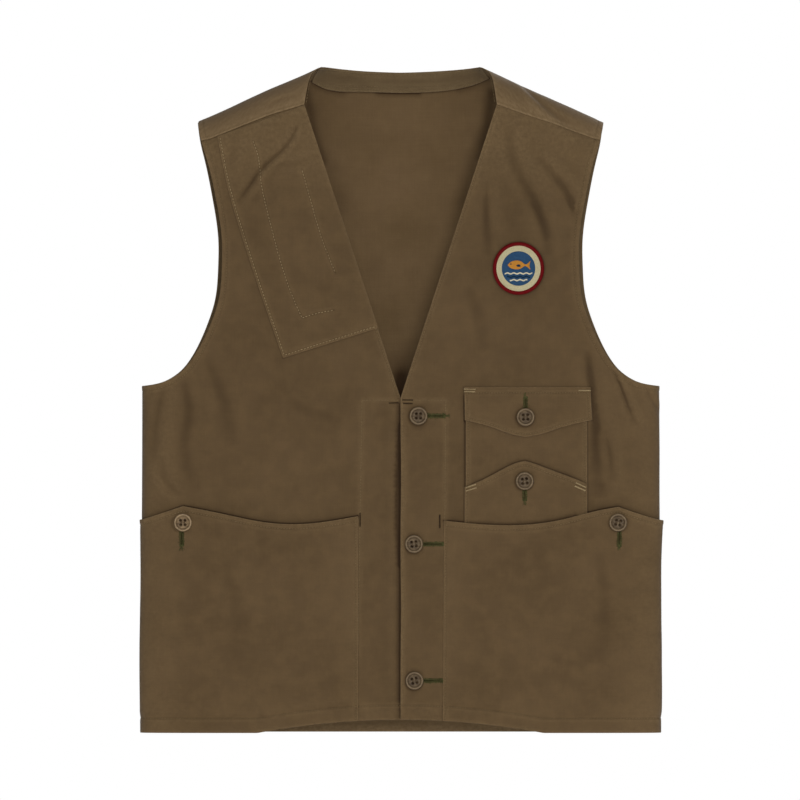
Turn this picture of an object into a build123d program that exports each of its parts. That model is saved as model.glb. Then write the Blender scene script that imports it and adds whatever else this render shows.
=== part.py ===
from build123d import *

import os
from math import atan, cos, sin

# A sleeveless button-front fishing vest, hung as it is worn.
# Millimetres, +Z up, the front faces -Y. The origin is midway between the two places where the
# shoulders rest at the sides of the neck. Outlines are drawn face on: x across, y as the height
# above the back hem. Layers of cloth are numbered by their distance out from the inner face.

os.makedirs("parts", exist_ok=True)

# ---- cloth and body ----
cloth = 1.0  # one layer of cloth
half_width = 267.5  # inner face at the side seams
half_depth = 42.0  # inner face at the front and the back
side_radius = 36.0
shoulder_radius = 40.0
hem_drop = 696.0  # from the shoulder rest down to the back hem
neck_half = 90.0  # from the centre to where the shoulder meets the neck
neck_top = 697.0
tip_half = 212.5  # from the centre to the shoulder's outer end
tip_height = 641.0
far_up = 760.0  # clear above the shoulders
far_out = 360.0  # clear beyond the sides
margin = 40.0
seam_gap = 0.5  # half of the gap between front and back at a side seam
armhole_low = 362.0  # bottom of an armhole, at the side seam
facing_low = 340.0  # the armhole facing's lowest edge at the back

# ---- fronts ----
fold_height = 372.0  # where the swinging part of each front begins
fold_gap = 3.0
vee_height = 352.0  # where the two fronts cross
hem_rise = 14.0  # the front hem's rise at the centre
hem_flat = 150.0  # the front hem is level further out than this
hem_fold = 15.0  # height of the doubled cloth along a hem
lap_edge = 36.0  # free edge of the front that lies underneath
lap_step = -39.5  # where that front steps inwards
lap_depth = 2.4  # how far it steps in
placket_width = 47.0
placket_top = 349.0

# ---- pockets ----
pocket_gap = 4.6  # room inside a pocket, front to back
pocket_wall = 1.5
pocket_out = cloth + pocket_gap + cloth  # outer face of a pocket on the body
top_pocket_out = pocket_out + pocket_gap + cloth  # outer face of a pocket on a pocket
pocket_edge = 44.5  # inner edge of a large pocket
chest_left = 67.0
chest_right = 195.8
chest_bottom = 233.0
chest_top = 352.0

# ---- flap ----
flap_left = 66.7
flap_right = 200.0
flap_hinge = 363.0
flap_hinge_out = 1.7  # from the front's inner face to the middle of the flap's hinge edge
flap_bend = 353.0  # below this the flap hangs straight
flap_inner = 7.0  # inner face of the hanging part
flap_corner = 329.0
flap_tip = 310.8

# ---- buttons and their holes ----
button_radius = 9.5
button_thick = 2.6
button_rim = 1.7
button_dish = 0.7
button_lift = 0.9  # from the cloth to the back of a button
hole_radius = 1.0
hole_spacing = 4.4
shank_radius = 1.2
strand_radius = 0.6
slot_width = 3.4
stitch_high = 0.3
stitch_rim = 1.6

# ---- places: x and height ----
FRONT_BUTTONS = {"top": (18.9, 333.0), "middle": (14.2, 198.5), "bottom": (14.7, 55.0)}
FRONT_SLOT_END = 42.6
FLAP_BUTTON = (131.3, 331.8)
CHEST_BUTTON = (130.4, 264.6)
POCKET_BUTTON = (228.5, 221.0)
BADGE = (123.9, 489.3)

# ---- edges, as points with x positive ----
ARMHOLE = [(tip_half, tip_height), (201.5, 588), (190.3, 505), (201, 432), (234, 384), (275, 362)]
ARMHOLE_INNER = [(203.5, 645), (192.5, 588), (181.3, 505), (192, 428), (227, 376), (275, 353)]
BACK_ARMHOLE = [(tip_half, tip_height), (204.5, 588), (194.3, 505), (204, 432), (236, 385), (275, 362)]
NECK_SIDE = [(neck_half, neck_top), (98, 677), (101, 660)]
SHOULDER_SEAM = [(101, 660), (200, 624), (tip_half + 6, 620)]
NECKLINE = [(-neck_half, 700), (0, 693.5), (neck_half, 700)]
NECKBAND_LOW = [(-93, 681), (0, 672), (93, 681)]
POCKET_MOUTH = [(pocket_edge, 226), (104, 219), (166, 223), (227, 238)]
POCKET_FOOT = [(far_out, 188), (far_out, 0), (150, 1), (pocket_edge, 13)]
POCKET_ROOM = [(far_out, 280), (far_out, 2), (150, 3)]
PATCH_SIDE = [(-192, 627), (-184.3, 586), (-165.4, 518), (-123.4, 393.8)]
PATCH_CORNERS = [(-24.7, 425.3), (-101, 660)]
CHEST_MOUTH = [(chest_left, 258), (CHEST_BUTTON[0], 285.6), (chest_right, 260.5)]

face_on = Plane(origin=(0, 0, -hem_drop), x_dir=(1, 0, 0), z_dir=(0, -1, 0))
side_on = Plane(origin=(0, 0, -hem_drop), x_dir=(0, 1, 0), z_dir=(1, 0, 0))
shoulder_slope = atan((neck_top - tip_height) / (tip_half - neck_half))
vee_slope = (NECK_SIDE[-1][1] - vee_height) / NECK_SIDE[-1][0]


def front_at(out):
    """The face-on plane at a distance out from the front's inner face."""
    return face_on.offset(half_depth + out)


def keep(builder, label):
    """Name a finished piece and write it."""
    builder.part.label = label
    export_step(builder.part, f"parts/{label}.step")


# ---- the shape of the body ----


def torso(grow):
    """The space inside the vest as one solid, with its walls moved out by grow."""
    wide = half_depth + grow
    ridge = neck_half * sin(shoulder_slope) / cos(shoulder_slope) + grow
    with BuildPart() as form:
        for side in (-1, 1):
            with BuildSketch(Plane.YZ) as arch:
                with BuildLine():
                    corners = [(-wide, -hem_drop), (-wide, ridge), (wide, ridge), (wide, -hem_drop)]
                    Polyline(*corners, close=True)
                make_face()
                fillet(arch.vertices().group_by(Axis.Y)[-1], radius=shoulder_radius + grow)
            slant = (side * cos(shoulder_slope), 0, -sin(shoulder_slope))
            extrude(amount=half_width + 3 * margin, dir=slant)
        with BuildSketch(Plane.XY.offset(-hem_drop)):
            RectangleRounded(2 * (half_width + grow), 2 * wide, side_radius + grow)
        extrude(amount=hem_drop + 2 * margin, mode=Mode.INTERSECT)
    return form.part


def layer(inner, outer):
    """The skin of the body between two distances out from its inner face."""
    with BuildPart() as skin:
        add(torso(outer))
        add(torso(inner), mode=Mode.SUBTRACT)
    return skin.part


lining = layer(-cloth, 0)
panel = layer(0, cloth)
patch = layer(cloth, 2 * cloth)
pouch = layer(cloth, pocket_out)
pouch_space = layer(cloth, pocket_out - cloth)


# ---- outlines, each a flat sketch ----


def sided(points, side):
    """The same points on the side where x has this sign."""
    return [(side * x, height) for x, height in points]


def beyond_armhole(points, side):
    """The area outside an armhole's edge."""
    with BuildSketch() as area:
        with BuildLine():
            edge = Spline(*sided(points, side))
            corners = [(far_out, armhole_low), (far_out, far_up), (tip_half, far_up)]
            Polyline(edge @ 1, *sided(corners, side), edge @ 0)
        make_face()
    return area.sketch


def above_neckline():
    """The area above the back's neck edge."""
    with BuildSketch() as area:
        with BuildLine():
            neckline = ThreePointArc(*NECKLINE)
            Polyline(neckline @ 1, (neck_half, far_up), (-neck_half, far_up), neckline @ 0)
        make_face()
    return area.sketch


def shoulder_strip(side):
    """The front of a shoulder, from the neck edge to the armhole and down to the seam."""
    with BuildSketch() as area:
        with BuildLine():
            turn = Spline(*sided(NECK_SIDE, side))
            corners = [*SHOULDER_SEAM[1:], (SHOULDER_SEAM[-1][0], far_up), (neck_half, far_up)]
            Polyline(turn @ 1, *sided(corners, side), turn @ 0)
        make_face()
        add(beyond_armhole(ARMHOLE, side), mode=Mode.SUBTRACT)
    return area.sketch


def upper_front_area(side):
    """A front from the fold up to the shoulder seam."""
    vee_half = (fold_height - vee_height) / vee_slope
    outer_end = [(far_out, SHOULDER_SEAM[-1][1]), (far_out, fold_height)]
    corners = [(vee_half, fold_height), *SHOULDER_SEAM, *outer_end]
    with BuildSketch() as area:
        with BuildLine():
            Polyline(*sided(corners, side), close=True)
        make_face()
        add(beyond_armhole(ARMHOLE, side), mode=Mode.SUBTRACT)
    return area.sketch


def facing_area(edge_points, side, low):
    """The band between an armhole's edge and the facing's inner edge, above a height."""
    with BuildSketch() as area:
        with BuildLine():
            edge = Spline(*sided(edge_points, side))
            inside = Spline(*sided(ARMHOLE_INNER, side))
            corners = [(tip_half, far_up), (ARMHOLE_INNER[0][0], far_up)]
            Polyline(edge @ 0, *sided(corners, side), inside @ 0)
            Line(edge @ 1, inside @ 1)
        make_face()
        with Locations((side * far_out, low / 2)):
            Rectangle(2 * far_out, low, mode=Mode.SUBTRACT)
    return area.sketch


def front_area(left, right, side, top=fold_height - fold_gap):
    """A swinging front between two values of x, from its hem up; side says whose neck edge it has."""
    above = vee_height + margin * vee_slope
    corners = [(0, vee_height), (margin, above), (-far_out, above), (-far_out, vee_height)]
    with BuildSketch() as area:
        with Locations(((left + right) / 2, top / 2)):
            Rectangle(right - left, top)
        with BuildLine():
            Polyline(*sided(corners, side), close=True)
        make_face(mode=Mode.SUBTRACT)
        add(beyond_armhole(ARMHOLE, side), mode=Mode.SUBTRACT)
        with BuildLine():
            hem = ThreePointArc((-hem_flat, 0), (0, hem_rise), (hem_flat, 0))
            Polyline(hem @ 1, (hem_flat, -margin), (-hem_flat, -margin), hem @ 0)
        make_face(mode=Mode.SUBTRACT)
    return area.sketch


def pocket_area(side):
    """A large lower pocket, from the hem to its shaped mouth."""
    with BuildSketch() as area:
        with BuildLine():
            mouth = Spline(*sided(POCKET_MOUTH, side))
            Polyline(mouth @ 1, *sided(POCKET_FOOT, side), mouth @ 0)
        make_face()
    return area.sketch


def pocket_space_area(side):
    """The space in a large pocket, which runs out past its mouth."""
    inner = pocket_edge + pocket_wall
    corners = [(inner, POCKET_ROOM[0][1]), *POCKET_ROOM, (inner, POCKET_FOOT[-1][1] + 2)]
    with BuildSketch() as area:
        with BuildLine():
            Polyline(*sided(corners, side), close=True)
        make_face()
    return area.sketch


def slot_area(place, length, along, rim=0):
    """A buttonhole that starts at a button's shank; along is its direction in degrees."""
    shift = Vector(length / 2 - slot_width / 2, 0).rotate(Axis.Z, along)
    with BuildSketch() as area:
        with Locations((place[0] + shift.X, place[1] + shift.Y)):
            SlotOverall(length + 2 * rim, slot_width + 2 * rim, rotation=along)
    return area.sketch


def block(area, amount, out=-half_depth):
    """An outline carried forwards, or backwards where the amount is negative."""
    with BuildPart() as solid:
        with BuildSketch(front_at(out)):
            add(area)
        extrude(amount=amount)
    return solid.part


def level_block(across, low, high, front, back):
    """A plain box between two heights, two distances in y and plus or minus a half width."""
    with BuildPart() as solid:
        with BuildSketch(Plane.XY.offset(low - hem_drop)):
            with Locations((0, (front + back) / 2)):
                Rectangle(2 * across, back - front)
        extrude(amount=high - low)
    return solid.part


front_reach = 2 * half_depth

# ---- pieces that stay with the shoulders ----

with BuildPart() as back_hem_cloth:
    add(lining)
    add(level_block(far_out, 0, hem_fold, 0, front_reach), mode=Mode.INTERSECT)

with BuildPart() as back_panel:
    with BuildSketch(face_on):
        with Locations((0, far_up / 2)):
            Rectangle(2 * far_out, far_up)
        for side in (-1, 1):
            add(beyond_armhole(BACK_ARMHOLE, side), mode=Mode.SUBTRACT)
        add(above_neckline(), mode=Mode.SUBTRACT)
    extrude(amount=-front_reach)
    for side in (-1, 1):
        add(block(shoulder_strip(side), front_reach))
    add(panel, mode=Mode.INTERSECT)
    add(back_hem_cloth.part)
    add(level_block(far_out, -margin, fold_height + 10, -seam_gap, seam_gap), mode=Mode.SUBTRACT)
keep(back_panel, "back_panel")

with BuildPart() as neckband:
    with BuildSketch(face_on.offset(-half_depth / 4)):
        with BuildLine():
            top = ThreePointArc(*NECKLINE)
            bottom = ThreePointArc(*NECKBAND_LOW)
            Line(top @ 0, bottom @ 0)
            Line(top @ 1, bottom @ 1)
        make_face()
    extrude(amount=-front_reach)
    add(lining, mode=Mode.INTERSECT)
keep(neckband, "neckband")

SIDES = (("right", -1), ("left", 1))

for name, side in SIDES:
    with BuildPart() as upper_front:
        with BuildSketch(face_on):
            add(upper_front_area(side))
        extrude(amount=front_reach)
        add(panel, mode=Mode.INTERSECT)
    keep(upper_front, f"{name}_upper_front")

for name, side in SIDES:
    with BuildPart() as armhole_facing:
        add(block(facing_area(ARMHOLE, side, fold_height), front_reach))
        add(block(facing_area(BACK_ARMHOLE, side, facing_low), -front_reach))
        add(lining, mode=Mode.INTERSECT)
        add(level_block(far_out, 0, fold_height + 10, -seam_gap, seam_gap), mode=Mode.SUBTRACT)
    keep(armhole_facing, f"{name}_armhole_facing")

with BuildPart() as shoulder_patch:
    with BuildSketch(face_on):
        with BuildLine():
            outer = Spline(*PATCH_SIDE)
            Polyline(outer @ 1, *PATCH_CORNERS, outer @ 0)
        make_face()
    extrude(amount=front_reach)
    add(patch, mode=Mode.INTERSECT)
keep(shoulder_patch, "shoulder_patch")

# ---- the embroidered badge ----

badge_radius = 26.8
badge_inner = 23.4
badge_field_radius = 17.4
badge_border_high = 1.8
embroidery = 0.5

with BuildPart() as badge_backing:
    with BuildSketch(front_at(cloth)):
        with Locations(BADGE):
            Circle(badge_inner)
    extrude(amount=cloth)
keep(badge_backing, "badge_backing")

with BuildPart() as badge_border:
    with BuildSketch(front_at(cloth)):
        with Locations(BADGE):
            Circle(badge_radius)
            Circle(badge_inner, mode=Mode.SUBTRACT)
    extrude(amount=badge_border_high)
    fillet(badge_border.faces().sort_by(Axis.Y)[0].edges(), radius=1.0)
keep(badge_border, "badge_border")

with BuildPart() as badge_field:
    with BuildSketch(front_at(2 * cloth)):
        with Locations(BADGE):
            Circle(badge_field_radius)
    extrude(amount=embroidery)
keep(badge_field, "badge_field")

with BuildPart() as badge_motif:
    # a plain fish above two wave bands
    with BuildSketch(front_at(2 * cloth + embroidery)):
        with Locations((BADGE[0] - 1.5, BADGE[1] + 3.5)):
            Ellipse(8.5, 3.8)
        with Locations((BADGE[0] + 8.5, BADGE[1] + 3.5)):
            RegularPolygon(4.0, 3, rotation=180)
        for drop in (6.0, 10.0):
            with Locations((BADGE[0], BADGE[1] - drop)):
                SlotOverall(2.2 * (badge_field_radius - drop), 1.8)
    extrude(amount=embroidery)
keep(badge_motif, "badge_motif")

# ---- the fronts below the fold ----

FRONT_SLOTS = [
    slot_area(place, FRONT_SLOT_END - place[0] + slot_width / 2, 0) for place in FRONT_BUTTONS.values()
]

with BuildPart() as right_hem_cloth:
    add(block(front_area(-far_out, lap_step, -1, hem_fold), front_reach))
    add(lining, mode=Mode.INTERSECT)

with BuildPart() as right_front:
    with BuildSketch(face_on):
        add(front_area(-far_out, lap_step, -1))
    extrude(amount=front_reach)
    add(panel, mode=Mode.INTERSECT)
    add(right_hem_cloth.part)
    # the strip under the other front, set back, and the step that leads to it
    with BuildSketch(front_at(-lap_depth)):
        add(front_area(lap_step, 0, -1))
        with Locations((lap_edge / 2, (placket_top + hem_rise) / 2)):
            Rectangle(lap_edge, placket_top - hem_rise)
    extrude(amount=cloth)
    add(block(front_area(lap_step, lap_step + cloth, -1), lap_depth + cloth, -lap_depth))
    add(level_block(far_out, -margin, fold_height, -seam_gap, front_reach), mode=Mode.SUBTRACT)
keep(right_front, "right_front")

placket_low = hem_rise + hem_fold + 2
placket_high = placket_top - placket_low

with BuildPart() as right_placket:
    with BuildSketch(front_at(-lap_depth - cloth)):
        with Locations(((lap_step + cloth + lap_edge) / 2, placket_low + placket_high / 2)):
            Rectangle(lap_edge - lap_step - cloth, placket_high)
    extrude(amount=cloth)
keep(right_placket, "right_placket")

with BuildPart() as left_hem_cloth:
    add(block(front_area(0, far_out, 1, hem_fold), front_reach))
    add(lining, mode=Mode.INTERSECT)

with BuildPart() as left_front:
    with BuildSketch(face_on):
        add(front_area(0, far_out, 1))
        for hole in FRONT_SLOTS:
            add(hole, mode=Mode.SUBTRACT)
    extrude(amount=front_reach)
    add(panel, mode=Mode.INTERSECT)
    add(left_hem_cloth.part)
    add(level_block(far_out, -margin, fold_height, -seam_gap, front_reach), mode=Mode.SUBTRACT)
keep(left_front, "left_front")

with BuildPart() as left_placket:
    with BuildSketch(front_at(-cloth)):
        with Locations((placket_width / 2, placket_low + placket_high / 2)):
            Rectangle(placket_width, placket_high)
        for hole in FRONT_SLOTS:
            add(hole, mode=Mode.SUBTRACT)
    extrude(amount=cloth)
keep(left_placket, "left_placket")

# ---- pockets ----

pocket_slot = 29
chest_slot = 25
flap_slot = 20

for name, side in SIDES:
    with BuildPart() as lower_pocket_space:
        add(block(pocket_space_area(side), front_reach, 3 * pocket_wall - half_depth))
        add(pouch_space, mode=Mode.INTERSECT)
    pocket_hole = slot_area((side * POCKET_BUTTON[0], POCKET_BUTTON[1]), pocket_slot, -90)
    with BuildPart() as lower_pocket:
        with BuildSketch(face_on):
            add(pocket_area(side))
        extrude(amount=front_reach)
        add(pouch, mode=Mode.INTERSECT)
        add(lower_pocket_space.part, mode=Mode.SUBTRACT)
        add(block(pocket_hole, margin, pocket_out - 2 * cloth), mode=Mode.SUBTRACT)
        add(level_block(far_out, -margin, fold_height, -pocket_wall, front_reach), mode=Mode.SUBTRACT)
    keep(lower_pocket, f"{name}_lower_pocket")

chest_middle = (chest_left + chest_right) / 2
chest_wide = chest_right - chest_left

with BuildPart() as upper_chest_pocket:
    with BuildSketch(front_at(cloth)):
        with Locations((chest_middle, (chest_bottom + chest_top) / 2)):
            Rectangle(chest_wide, chest_top - chest_bottom)
    extrude(amount=pocket_out - cloth)
    with BuildSketch(front_at(cloth)):
        with Locations((chest_middle, (chest_bottom + chest_top) / 2 + pocket_wall)):
            Rectangle(chest_wide - 2 * pocket_wall, chest_top - chest_bottom)
    extrude(amount=pocket_gap, mode=Mode.SUBTRACT)
keep(upper_chest_pocket, "upper_chest_pocket")

with BuildPart() as lower_chest_pocket:
    with BuildSketch(front_at(pocket_out)):
        with BuildLine():
            Polyline((chest_left, chest_bottom), *CHEST_MOUTH, (chest_right, chest_bottom), close=True)
        make_face()
    extrude(amount=top_pocket_out - pocket_out)
    with BuildSketch(front_at(pocket_out)):
        with Locations((chest_middle, chest_bottom + pocket_wall + margin)):
            Rectangle(chest_wide - 2 * pocket_wall, 2 * margin)
    extrude(amount=pocket_gap, mode=Mode.SUBTRACT)
    add(block(slot_area(CHEST_BUTTON, chest_slot, -90), margin, pocket_out), mode=Mode.SUBTRACT)
keep(lower_chest_pocket, "lower_chest_pocket")

# ---- the flap over the upper chest pocket ----

with BuildPart() as chest_pocket_flap:
    with BuildSketch(side_on.offset(flap_left)):
        with BuildLine():
            Polyline(
                (-half_depth - flap_hinge_out, flap_hinge),
                (-half_depth - flap_inner - cloth / 2, flap_bend),
                (-half_depth - flap_inner - cloth / 2, flap_tip - margin),
            )
        trace(line_width=cloth)
        with Locations((-half_depth - flap_hinge_out, flap_hinge)):
            Circle(cloth / 2)
    extrude(amount=flap_right - flap_left)
    with BuildSketch(face_on):
        with BuildLine():
            Polyline(
                (flap_left, flap_hinge + margin),
                (flap_left, flap_corner),
                (FLAP_BUTTON[0], flap_tip),
                (flap_right, flap_corner),
                (flap_right, flap_hinge + margin),
                close=True,
            )
        make_face()
        add(slot_area(FLAP_BUTTON, flap_slot, 90), mode=Mode.SUBTRACT)
    extrude(amount=front_reach, mode=Mode.INTERSECT)
keep(chest_pocket_flap, "chest_pocket_flap")

# ---- buttonhole stitching and bartacks ----


def buttonhole(place, length, along, out):
    """The raised thread round one buttonhole."""
    with BuildPart() as stitches:
        with BuildSketch(front_at(out)):
            add(slot_area(place, length, along, stitch_rim))
            add(slot_area(place, length, along), mode=Mode.SUBTRACT)
        extrude(amount=stitch_high)
    return stitches.part


with BuildPart() as front_buttonholes:
    for place in FRONT_BUTTONS.values():
        add(buttonhole(place, FRONT_SLOT_END - place[0] + slot_width / 2, 0, cloth))
keep(front_buttonholes, "front_buttonholes")

with BuildPart() as flap_buttonhole:
    add(buttonhole(FLAP_BUTTON, flap_slot, 90, flap_inner + cloth))
keep(flap_buttonhole, "flap_buttonhole")

with BuildPart() as chest_pocket_buttonhole:
    add(buttonhole(CHEST_BUTTON, chest_slot, -90, top_pocket_out))
keep(chest_pocket_buttonhole, "chest_pocket_buttonhole")

for name, side in SIDES:
    with BuildPart() as pocket_buttonhole:
        add(buttonhole((side * POCKET_BUTTON[0], POCKET_BUTTON[1]), pocket_slot, -90, pocket_out))
    keep(pocket_buttonhole, f"{name}_pocket_buttonhole")


def bartack(x, height, length, along, out):
    """A short bar of tight stitches."""
    with BuildPart() as bar:
        with BuildSketch(front_at(out)):
            with Locations((x, height)):
                SlotOverall(length, 1.6, rotation=along)
        extrude(amount=0.5)
    return bar.part


with BuildPart() as right_bartacks:
    add(bartack(-8, placket_top - 3, 9, 0, cloth - lap_depth))
    add(bartack(-42, 225, 13, 90, cloth))
keep(right_bartacks, "right_bartacks")

with BuildPart() as left_bartacks:
    add(bartack(7.4, placket_top, 11.5, 0, cloth))
    add(bartack(7.4, placket_top - 3, 11.5, 0, cloth))
    add(bartack(41, 222, 13, 90, cloth))
    add(bartack(73, 366, 13, 0, cloth))
    add(bartack(193, 366, 13, 0, cloth))
    add(bartack(75.5, 256, 11, -20, top_pocket_out))
    add(bartack(187.5, 258, 11, 20, top_pocket_out))
keep(left_bartacks, "left_bartacks")

# ---- buttons ----

thread_pad = 0.4


def sewn_button(name, place, sewn, back):
    """A four-hole button and its thread; sewn and back are distances out."""
    seat = front_at(back)
    with BuildPart() as button:
        with BuildSketch(seat):
            with Locations(place):
                Circle(button_radius)
        extrude(amount=button_thick)
        fillet(button.edges().filter_by(GeomType.CIRCLE), radius=0.7)
        with BuildSketch(seat.offset(button_thick)):
            with Locations(place):
                Circle(button_radius - button_rim)
        extrude(amount=-button_dish, mode=Mode.SUBTRACT)
        with BuildSketch(seat):
            with Locations(place):
                with GridLocations(hole_spacing, hole_spacing, 2, 2):
                    Circle(hole_radius)
        extrude(amount=button_thick, mode=Mode.SUBTRACT)
    keep(button, name)
    with BuildPart() as thread:
        with BuildSketch(front_at(sewn)):
            with Locations(place):
                Circle(shank_radius)
        extrude(amount=back - sewn)
        with BuildSketch(seat.offset(-thread_pad)):
            with Locations(place):
                Circle(hole_spacing)
        extrude(amount=thread_pad)
        with BuildSketch(seat):
            with Locations(place):
                with GridLocations(hole_spacing, hole_spacing, 2, 2):
                    Circle(strand_radius)
        extrude(amount=button_thick - button_dish + thread_pad)
        with BuildSketch(seat.offset(button_thick - button_dish)):
            with Locations(place):
                for turn in (45, -45):
                    SlotCenterToCenter(hole_spacing * 2**0.5, 2 * strand_radius, rotation=turn)
        extrude(amount=thread_pad)
    keep(thread, f"{name}_thread")


for which, place in FRONT_BUTTONS.items():
    sewn_button(f"front_button_{which}", place, cloth - lap_depth, cloth + button_lift)

sewn_button("flap_button", FLAP_BUTTON, pocket_out, flap_inner + cloth + button_lift)
sewn_button("chest_pocket_button", CHEST_BUTTON, pocket_out, top_pocket_out + button_lift)

for name, side in SIDES:
    place = (side * POCKET_BUTTON[0], POCKET_BUTTON[1])
    sewn_button(f"{name}_pocket_button", place, cloth, pocket_out + button_lift)
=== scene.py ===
import math

import bpy
import numpy as np
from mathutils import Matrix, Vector
from mathutils.geometry import delaunay_2d_cdt
from mathutils.kdtree import KDTree


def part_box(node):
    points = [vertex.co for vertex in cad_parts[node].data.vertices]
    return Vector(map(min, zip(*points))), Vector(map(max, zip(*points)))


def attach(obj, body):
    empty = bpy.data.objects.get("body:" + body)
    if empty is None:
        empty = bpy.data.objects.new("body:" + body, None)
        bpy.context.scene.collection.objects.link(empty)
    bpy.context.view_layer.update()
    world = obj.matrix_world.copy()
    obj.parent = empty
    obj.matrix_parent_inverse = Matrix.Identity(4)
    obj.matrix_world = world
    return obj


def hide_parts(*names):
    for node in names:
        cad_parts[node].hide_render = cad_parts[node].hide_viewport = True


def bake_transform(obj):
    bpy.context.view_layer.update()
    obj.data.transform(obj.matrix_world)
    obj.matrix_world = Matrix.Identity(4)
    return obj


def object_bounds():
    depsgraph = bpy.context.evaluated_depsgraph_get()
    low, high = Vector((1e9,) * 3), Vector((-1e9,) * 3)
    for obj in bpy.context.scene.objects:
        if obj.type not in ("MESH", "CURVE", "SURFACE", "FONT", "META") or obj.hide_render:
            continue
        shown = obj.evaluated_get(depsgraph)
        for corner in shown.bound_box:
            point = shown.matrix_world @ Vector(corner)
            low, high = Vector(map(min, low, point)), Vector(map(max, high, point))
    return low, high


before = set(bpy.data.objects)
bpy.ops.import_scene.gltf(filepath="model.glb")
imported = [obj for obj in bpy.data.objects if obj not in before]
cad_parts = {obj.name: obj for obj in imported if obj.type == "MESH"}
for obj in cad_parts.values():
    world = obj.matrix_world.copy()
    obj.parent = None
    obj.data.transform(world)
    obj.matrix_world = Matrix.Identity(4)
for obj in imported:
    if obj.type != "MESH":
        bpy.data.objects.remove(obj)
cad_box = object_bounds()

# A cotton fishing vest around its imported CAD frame.
# Cloth is drawn flat, in mm: u is the distance across from the centre line, measured along the body,
# and v the height above the back hem, measured along the cloth. Out is the distance out from the
# inner face of the body. place() turns the three into points in the frame, in metres.


# ---- sizes from the frame, in mm ----

def span(node):
    """Lowest and highest corner of a CAD node in mm, with z as the height above the back hem."""
    low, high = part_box(node)
    lift = Vector((0, 0, HEM))
    return low * 1000 + lift, high * 1000 + lift


def spot(node):
    """The middle of a CAD node: x and height."""
    low, high = span(node)
    return ((low.x + high.x) / 2, (low.z + high.z) / 2)


HEM = -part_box("back_panel")[0].z * 1000  # from the origin down to the back hem
HALF_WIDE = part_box("back_panel")[1].x * 1000 - 0.4  # from the centre line to a side seam
DEEP = -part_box("left_upper_front")[0].y * 1000 - 1.0  # from the side seams to the middle of the front
NECK = 90.0  # from the centre line to a side of the neck
SLOPE = 0.4571  # fall of the shoulders for each mm across
RIDGE_TURN = DEEP * (math.pi / 2 - 1)  # cloth taken up by the round top of the shoulders, past its height
HEM_FOLD = 15  # height of the doubled cloth at the hems
SEAM_X, SEAM_H = 101, 660  # inner end of the shoulder seam
VEE_LOW = 352  # height of the bottom of the V
SIDES = ((-1, "right"), (1, "left"))

FRONT_BUTTONS = [spot(f"front_button_{k}") for k in ("top", "middle", "bottom")]
FLAP_BUTTON = spot("flap_button")
CHEST_BUTTON = spot("chest_pocket_button")
POCKET_BUTTONS = {-1: spot("right_pocket_button"), 1: spot("left_pocket_button")}
BADGE = (spot("badge_backing")[0], spot("badge_backing")[1] - 1.5)
TALL = 1.03  # the badge's height over its width

# ---- edges on the left side, as x and height; the armholes run a little inside the CAD's ----

ARMHOLE = [(212.5, 641), (208.8, 622), (202.8, 601.6), (193.4, 559.6), (187.4, 517.6), (187.4, 490),
           (190.8, 454.7), (197.4, 433.7), (206.6, 412.7), (219, 391.7), (227.6, 381.2), (236.5, 374.4),
           (246, 369.4), (258, 366), (268, 364.5)]
ARMHOLE_INNER = [(203.5, 645), (191, 588), (178.2, 505), (187, 436), (204, 398), (222, 375),
                 (242, 361), (268, 355)]
BACK_ARMHOLE = [(212.5, 641), (210.4, 622), (205.8, 601.6), (197.4, 559.6), (191.8, 517.6), (192, 490),
                (195.4, 454.7), (201.7, 433.7), (210.2, 412.7), (221.6, 391.7), (229.8, 381.4), (237.5, 375),
                (246.5, 369.8), (258, 366.2), (268, 364.5)]
BACK_ARMHOLE_INNER = [(203.5, 646), (194.5, 588), (182.4, 505), (191, 436), (207, 398), (224, 375.4),
                      (243, 361), (268, 355)]
NECK_SIDE = [(84.6, 698.4), (90, 695.6), (98, 677), (101, 660)]
POCKET_MOUTH = {1: [(45.6, 223.2), (104, 218.4), (167, 223.7), (209, 234.2), (227.5, 237.6)],
                -1: [(44.8, 227.8), (105, 219.6), (137, 220.8), (190, 231), (227.3, 238.4)]}
POCKET_MOUTH_END = {1: [(227.5, 237.6), (248, 230.0), (268, 223)],
                    -1: [(227.3, 238.4), (248, 231.0), (268, 223.6)]}
POCKET_SIDE = {1: 45.6, -1: 44.8}


# ---- small mathematics ----

def smooth(t):
    t = np.clip(t, 0, 1)
    return t * t * (3 - 2 * t)


def hill(t):
    """A bell: 1 at t = 0, and gone at t = 2."""
    return np.exp(-(t**2))


def line(points, step=2.5):
    """Straight runs through the points, with more points between."""
    p = np.array(points, float)
    out = [p[:1]]
    for a, b in zip(p[:-1], p[1:]):
        n = max(1, int(np.hypot(*(b - a)) / step))
        out.append(a + (b - a) * (np.arange(1, n + 1) / n)[:, None])
    return np.vstack(out)


def curve(points, step=2.5):
    """A smooth curve through the points."""
    p = np.array(points, float)
    t = along(p)
    n, h = len(p), np.diff(t)
    a, r = np.eye(n), np.zeros((n, 2))
    for i in range(1, n - 1):
        a[i, i - 1 : i + 2] = h[i - 1], 2 * (h[i - 1] + h[i]), h[i]
        r[i] = 6 * ((p[i + 1] - p[i]) / h[i] - (p[i] - p[i - 1]) / h[i - 1])
    m = np.linalg.solve(a, r)
    q = np.linspace(0, t[-1], max(2, int(t[-1] / step) + 1))
    i = np.clip(np.searchsorted(t, q, side="right") - 1, 0, n - 2)
    hi, lo, up = h[i][:, None], (q - t[i])[:, None], (t[i + 1] - q)[:, None]
    return ((m[i] * up**3 + m[i + 1] * lo**3) / (6 * hi)
            + (p[i] / hi - m[i] * hi / 6) * up + (p[i + 1] / hi - m[i + 1] * hi / 6) * lo)


def sided(points, side):
    return [(side * x, h) for x, h in points]


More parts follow.
